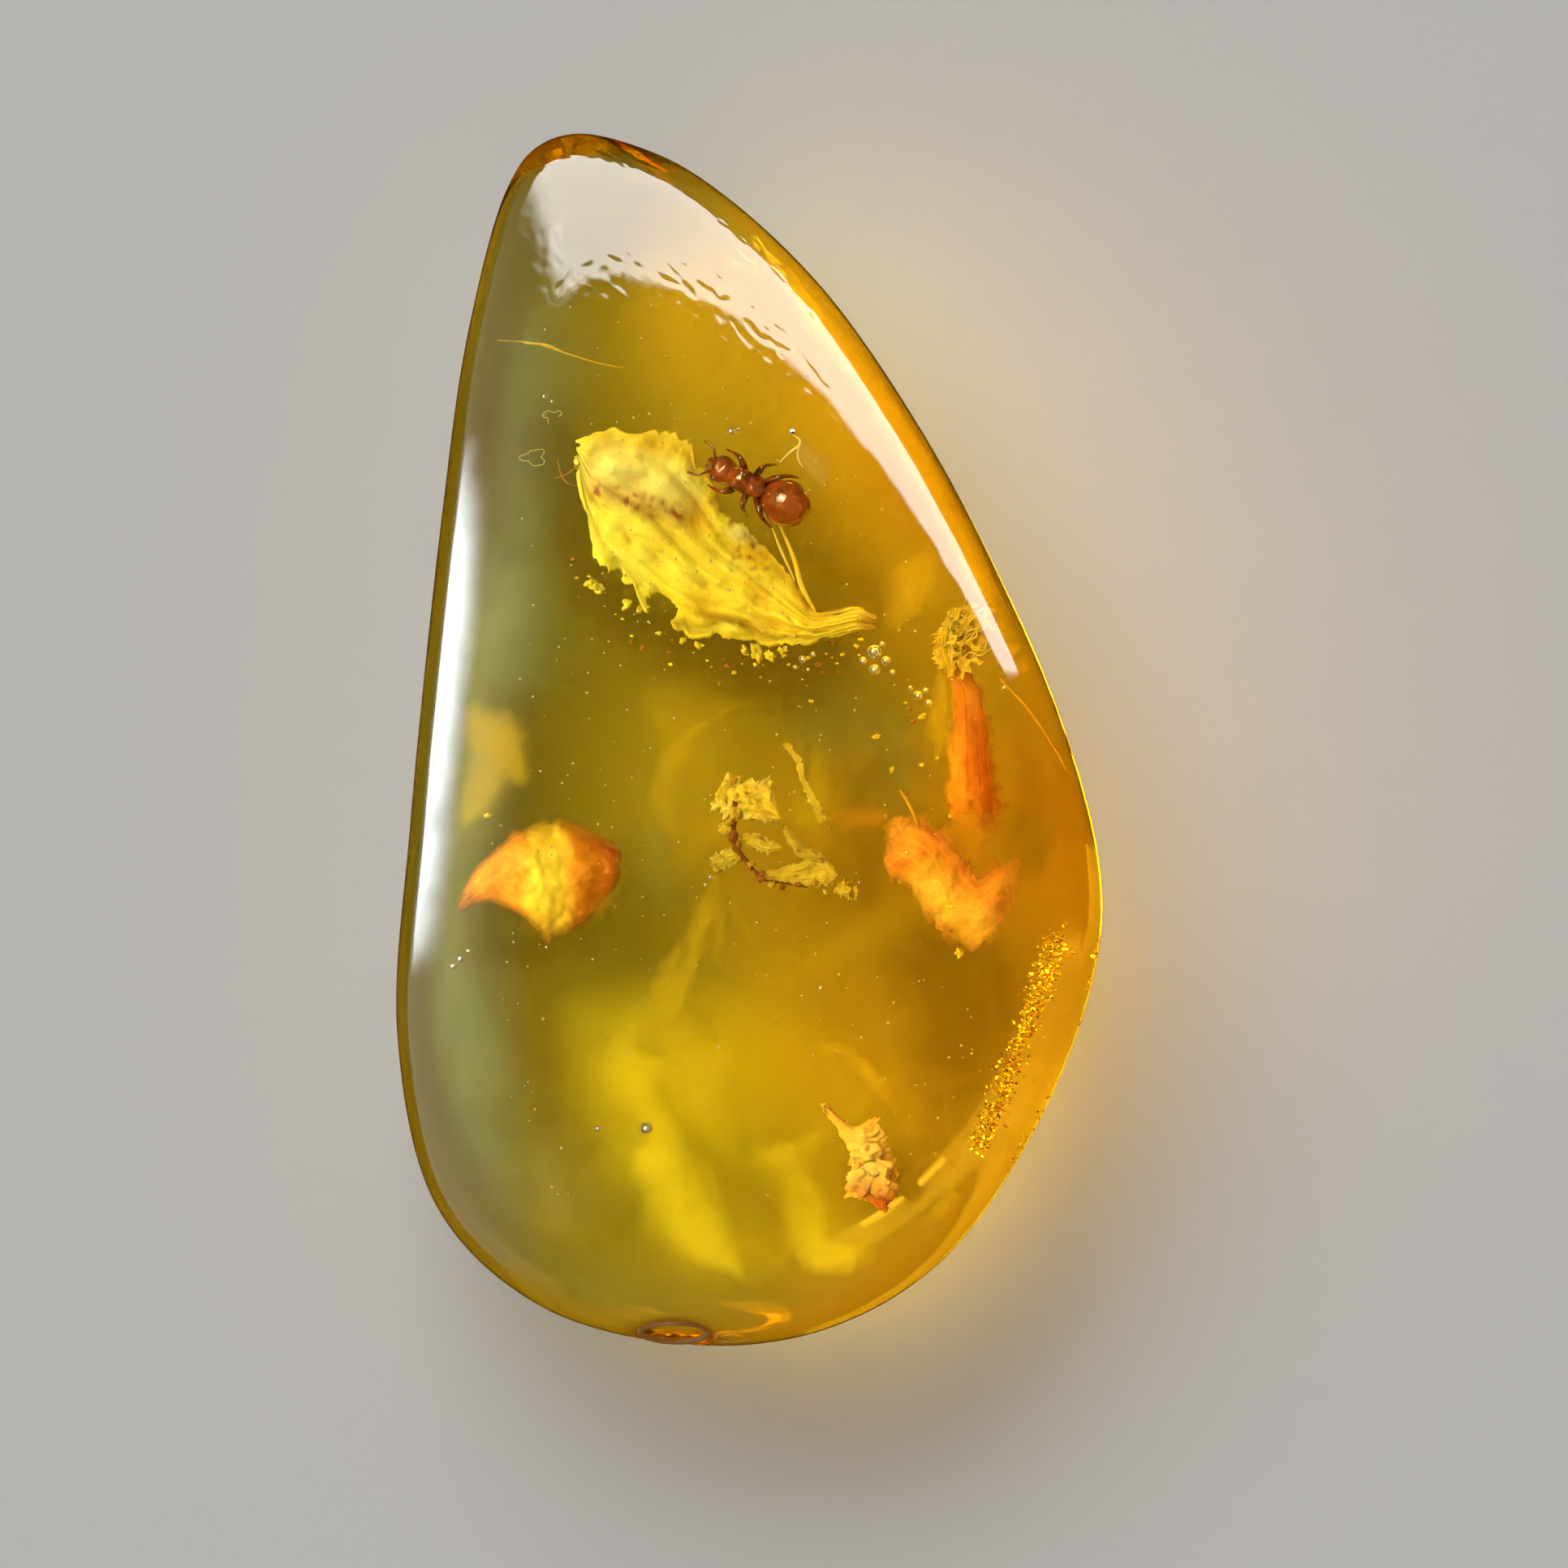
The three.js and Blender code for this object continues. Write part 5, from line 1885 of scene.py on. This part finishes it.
CLOUD = (
    Wisp(((-4.6, -12.6), (-3.0, -13.0), (-1.4, -13.4)), 5.4, 2.2, 0.44, Hue.LEMON, 1.4),
    Wisp(((-0.6, -12.4), (1.2, -12.7), (3.0, -13.2)), 5.2, 1.9, 0.2, Hue.GOLD, 1.4),
    Wisp(((-3.6, -14.6), (-1.0, -15.8), (1.6, -16.0), (3.6, -15.0)), 5.0, 1.9, 0.2, Hue.LEMON, 1.4),
    Wisp(((-1.6, -20.0), (1.4, -20.4), (4.2, -20.0)), 5.0, 1.5, 0.2, Hue.LEMON, 1.2),
    Wisp(((-4.4, -16.4), (-3.0, -17.6), (-1.8, -19.2), (-0.9, -20.6)), 6.2, 1.3, 0.4, Hue.LEMON, 1.0),
    Wisp(((1.4, -16.4), (2.0, -18.0), (2.5, -19.6), (3.6, -20.3)), 6.2, 1.1, 0.32, Hue.LEMON, 1.0),
    Wisp(((5.4, -6.8), (3.2, -8.2), (0.8, -9.8)), 6.4, 0.9, 0.16, Hue.GOLD),
    Wisp(((6.6, -14.0), (7.6, -16.0), (7.6, -18.4), (6.2, -20.0)), 5.6, 1.0, 0.16, Hue.GOLD, 1.2),
    Wisp(((-2.4, 1.6), (-2.2, -1.0), (-1.6, -3.0)), 5.8, 1.6, 0.16, Hue.GOLD, 1.2),
    Wisp(((-3.0, 18.0), (-3.2, 15.4), (-2.6, 12.6), (-1.6, 10.0)), 6.2, 1.5, 0.07, Hue.GOLD, 1.6),
    Wisp(((3.0, 13.0), (5.0, 9.6), (7.0, 6.4)), 5.6, 1.6, 0.12, Hue.GOLD, 1.2),
    Wisp(((-11.4, 4.0), (-11.8, -2.0), (-12.4, -8.0), (-12.0, -13.0)), 5.4, 1.5, 0.3, Hue.MILK, 1.6),
    Wisp(((-10.4, 6.0), (-11.0, 0.0), (-11.4, -7.0), (-11.0, -13.0)), 8.2, 1.7, 0.09, Hue.MILK, 0.9),
    Wisp(((-8.0, 18.0), (-8.8, 13.0), (-9.8, 8.0), (-10.0, 4.0)), 8.2, 1.9, 0.1, Hue.MILK, 0.9),
    Wisp(((-10.0, -10.0), (-9.6, -14.0), (-8.0, -17.6)), 8.2, 1.8, 0.1, Hue.MILK, 0.9),
    Wisp(((-8.4, 14.6), (-8.2, 11.0), (-8.8, 6.6), (-8.6, 3.0)), 6.2, 1.7, 0.45, Hue.TEAL, 1.2),
    Wisp(((-11.4, -11.0), (-11.0, -14.6), (-10.0, -17.4)), 7.0, 1.4, 0.6, Hue.TEAL, 1.2),
    Wisp(((-3.4, -4.2), (-3.2, -5.0), (-3.4, -5.8)), 6.6, 0.9, 0.5, Hue.TEAL),
    Wisp(((3.2, 1.4), (5.0, 0.2), (5.4, -1.4)), 6.4, 1.5, 0.7, Hue.TEAL, 1.2),
    Wisp(((4.0, -7.6), (2.0, -7.2), (5.6, -8.4)), 6.0, 1.2, 0.3, Hue.OLIVE, 1.2),
    Wisp(((0.0, 14.0), (0.4, 11.8), (2.0, 9.6)), 6.0, 1.6, 0.26, Hue.OLIVE, 1.4),
    Wisp(((-5.4, 17.4), (-5.6, 15.0), (-6.0, 13.2)), 6.0, 1.5, 0.2, Hue.OLIVE, 1.4),
    # painted shadow: dark brown haze under the leaf's lower edge
    Wisp(
        ((-7.4, 11.6), (-7.2, 9.4), (-6.6, 7.2), (-5.4, 5.2), (-3.0, 3.8), (0.0, 2.8), (3.0, 2.6)),
        6.6, 1.1, 1.1, Hue.SHADE_BROWN, 1.2,
    ),
    # painted shade: this and the later dark brown wisps darken the zones round the leaf stalk, the bark, the
    # floret, the bud scale, the petal and the right rim
    Wisp(((2.4, 8.2), (3.4, 6.6), (4.8, 6.0)), 6.8, 0.9, 0.4, Hue.SHADE_BROWN, 1.0),
    Wisp(((7.4, -9.0), (8.4, -10.6), (8.4, -12.6), (9.2, -9.6)), 5.4, 1.5, 1.0, Hue.SHADE_BROWN, 1.2),
    Wisp(((4.4, -1.6), (4.6, -3.4), (4.2, -5.4)), 5.8, 1.3, 0.5, Hue.SHADE_BROWN, 1.2),
    Wisp(((-8.6, -17.6), (-5.4, -20.4), (-1.0, -21.8), (4.0, -21.8)), 5.4, 1.5, 0.34, Hue.OLIVE, 1.4),
    Wisp(((5.6, -18.0), (7.4, -16.4), (8.2, -14.4)), 5.2, 1.2, 0.45, Hue.SHADE_BROWN, 1.2),
    Wisp(((10.8, 2.0), (11.4, -1.0), (11.6, -4.0)), 5.4, 0.9, 0.3, Hue.SHADE_BROWN, 1.2),
    Wisp(((-8.3, -8.3), (-7.0, -7.9), (-5.4, -6.2), (-4.9, -4.8)), 6.2, 0.7, 0.4, Hue.SHADE_BROWN, 0.8),
)
VEILS = (
    Wisp(((-4.4, -16.4), (-3.2, -17.4), (-2.2, -18.9), (-0.7, -20.9)), 6.6, 1.05, 0.36, Hue.LEMON, 1.2),
    Wisp(((-3.1, -17.6), (-2.0, -19.2), (-0.6, -21.1)), 6.6, 0.65, 0.5, Hue.LEMON, 1.2),
    Wisp(
        ((1.4, -16.4), (2.0, -17.8), (2.4, -19.4), (3.0, -20.2), (4.8, -20.3)),
        6.6, 0.85, 0.3, Hue.LEMON, 1.1,
    ),
    Wisp(((2.3, -19.2), (2.9, -20.3), (4.2, -20.4)), 6.6, 0.5, 0.5, Hue.LEMON, 1.1),
    Wisp(((-0.2, -16.2), (1.0, -16.4), (2.2, -15.8), (3.2, -15.2)), 6.4, 0.6, 0.2, Hue.LEMON, 0.7),
    Wisp(((-5.0, -12.0), (-4.8, -13.2), (-3.9, -14.6)), 6.6, 1.3, 0.34, Hue.LEMON, 1.0),
    Wisp(((-3.6, -14.8), (-3.4, -16.6), (-2.2, -18.0)), 6.6, 0.9, 0.22, Hue.LEMON, 1.0),
    Wisp(((1.9, -11.7), (4.0, -12.4), (5.3, -13.6), (6.2, -15.2)), 7.2, 0.25, 0.35, Hue.GOLD, 0.5),
    Wisp(((7.2, -16.2), (8.0, -17.2), (7.5, -18.5), (6.3, -19.8)), 6.4, 0.25, 0.3, Hue.LEMON, 0.5),
    Wisp(((-1.3, -5.4), (-2.6, -8.0), (-4.2, -10.8)), 7.2, 0.3, 0.24, Hue.GOLD, 0.5),
    Wisp(((-1.2, -5.4), (-2.0, -7.8), (-2.9, -10.4)), 7.2, 0.32, 0.34, Hue.GOLD, 0.5),
    Wisp(((-2.4, -8.4), (-3.0, -9.6), (-4.0, -11.4)), 7.2, 0.7, 0.3, Hue.GOLD, 0.5),
    Wisp(((-1.1, -5.4), (-1.2, -7.5), (-1.3, -9.6)), 7.2, 0.16, 0.2, Hue.GOLD, 0.5),
    Wisp(((-1.0, -5.4), (-0.2, -7.2), (1.0, -8.8)), 7.2, 0.16, 0.2, Hue.GOLD, 0.5),
    Wisp(((-11.0, 0.9), (-10.0, -0.3), (-9.2, -1.4)), 7.0, 0.95, 0.42, Hue.GOLD, 1.0),
    Wisp(((-10.0, -0.8), (-10.8, -2.2), (-11.5, -3.3)), 7.2, 0.7, 0.35, Hue.GOLD, 0.8),
    Wisp(((0.0, 2.0), (-2.2, -0.1), (-3.3, -1.4), (-3.2, -3.2), (-2.3, -3.9)), 6.4, 0.5, 0.22, Hue.GOLD, 0.5),
    Wisp(((6.9, 7.2), (6.2, 6.2), (5.5, 4.7)), 7.2, 0.8, 0.4, Hue.GOLD, 0.6),
    Wisp(((2.9, -3.3), (4.2, -3.2), (5.6, -3.4)), 7.2, 0.4, 0.45, Hue.ORANGE, 0.5),
    Wisp(((8.8, -2.6), (8.7, -4.2), (8.9, -5.6)), 7.2, 0.7, 0.5, Hue.ORANGE, 0.6),
    Wisp(((7.7, 3.0), (7.5, 1.0), (7.4, -1.0)), 6.4, 0.35, 0.5, Hue.GOLD, 0.6),
    Wisp(
        ((-10.0, -5.8), (-8.0, -4.2), (-5.8, -5.0), (-6.4, -6.8), (-8.6, -7.2)),
        6.4, 0.6, 0.3, Hue.ORANGE, 0.5,
    ),
    Wisp(((2.6, -0.6), (2.4, -2.6), (1.2, -3.6)), 7.2, 0.6, 0.2, Hue.LEMON, 0.5),
    Wisp(((1.8, 11.6), (2.4, 11.0), (2.7, 10.2)), 10.2, 0.5, 0.3, Hue.SMOKE, 0.3),
    Wisp(((12.2, -7.8), (11.0, -11.2), (9.4, -15.4)), 4.8, 0.35, 0.5, Hue.LEMON, 0.4),
    # painted glow: two bright veils along the upper right rim
    Wisp(
        ((0.4, 19.6), (2.8, 17.2), (4.9, 14.6), (7.2, 10.8), (9.1, 6.8), (10.9, 3.0)),
        7.0, 0.6, 1.6, Hue.GLOW, 1.0,
    ),
    Wisp(
        ((0.4, 19.8), (2.9, 17.4), (5.1, 14.8), (7.4, 11.0), (9.4, 7.0), (11.2, 3.2)),
        5.0, 0.7, 1.8, Hue.GLOW, 0.9,
    ),
)
STRANDS = (
    Thread(((-9.8, 15.6), (-8.5, 15.5), (-7.2, 15.1), (-5.9, 14.7), (-4.9, 14.5)), 10.0, 0.035, deep=0.45),
    Thread(((-8.8, 15.5), (-7.9, 15.4), (-7.2, 15.1)), 10.0, 0.06, deep=0.35),
    Thread(((1.2, 8.4), (1.75, 7.1), (2.1, 5.9), (2.6, 5.0)), 9.1, 0.11),
    Thread(((0.9, 8.3), (1.3, 7.3), (1.8, 6.2)), 9.1, 0.07, pale=0.4),
    Thread(((1.7, 11.9), (2.0, 11.6), (1.6, 11.2), (1.2, 10.8)), 10.8, 0.05, pale=1.0),
    Thread(((2.0, 11.6), (1.9, 11.0), (2.1, 10.6)), 10.8, 0.04, pale=1.0),
    Thread(((-7.5, 10.9), (-7.2, 10.1), (-6.7, 9.9)), 9.4, 0.05, deep=0.8),
    Thread(((-7.6, 10.2), (-7.1, 10.4), (-6.6, 10.8)), 9.4, 0.04, deep=0.8),
    Thread(((5.9, -2.0), (6.3, -2.6), (6.6, -3.4)), 8.2, 0.08, deep=0.2),
    Thread(((9.9, 2.4), (11.0, 1.2), (12.1, -0.4), (12.5, -1.2)), 6.6, 0.04, deep=0.2),
    # painted highlight: thin pale rings for the glinting outlines of two bubbles
    Thread(ring((-8.4, 11.0), (0.42, 0.3), 0.25), 10.4, 0.012, pale=1.0, even=True),
    Thread(ring((-7.7, 12.6), (0.3, 0.24), 0.3)[:12], 10.4, 0.012, pale=1.0, even=True),
    Thread(ring((-2.95, -23.3), (1.35, 0.42)), None, 0.16, deep=0.8, even=True),
    Thread(ring((-0.7, -23.45), (0.6, 0.2)), None, 0.13, deep=0.45, even=True),
    Thread(((-1.1, -23.4), (-0.7, -23.3), (-0.3, -23.4)), None, 0.12, pale=0.2),
)


def main() -> None:
    """Builds the stone, what is sealed in it and the studio, in that order."""
    logging.basicConfig(level=logging.INFO, format="%(name)s: %(message)s")
    # Blender seeds the noise that swirls the haze by the clock, unless it is given a seed
    noise.seed_set(SWIRL_SEED)
    shape = DropShape()
    Stone(shape, AmberFinish()).build()
    Leaf(shape, LEAF_FINISH).build("leaf", Slot.LEAF)
    Ant(shape, ShellFinish()).build()
    Petal(shape, PETAL_FINISH).build("petal", Slot.PETAL)
    BarkStrip(shape, BARK_FINISH).build("bark_strip", Slot.BARK)
    BarkChip(shape, BARK_FINISH).build("bark_chip", Slot.BARK)
    Floret(shape, FLORET_FINISH).build()
    BudScale(shape, BUD_FINISH).build("bud_scale", Slot.BUD)
    haze = HazeFinish()
    Haze(shape, "cloud", haze, CLOUD, (4.7, 6.1, 8.2), cell=0.34, swirl=0.9, streaks=0.6).build()
    Haze(
        shape, "veils", haze, VEILS, (4.8, 5.8, 6.4, 6.9, 7.4, 10.2), cell=0.17, swirl=0.35, streaks=0.8,
        rim=(0.98, 0.03), taper=0.6, fray=0.3,
    ).build()
    Tatters(shape, FLORET_FINISH).build()
    Threads(shape, FLORET_FINISH, STRANDS).build()
    Spangles(shape, GoldFinish()).build()
    Bubbles(shape, SilverFinish()).build()
    Crumbs(shape, LEAF_FINISH).build()
    Studio(shape).build()


if __name__ == "__main__":
    main()
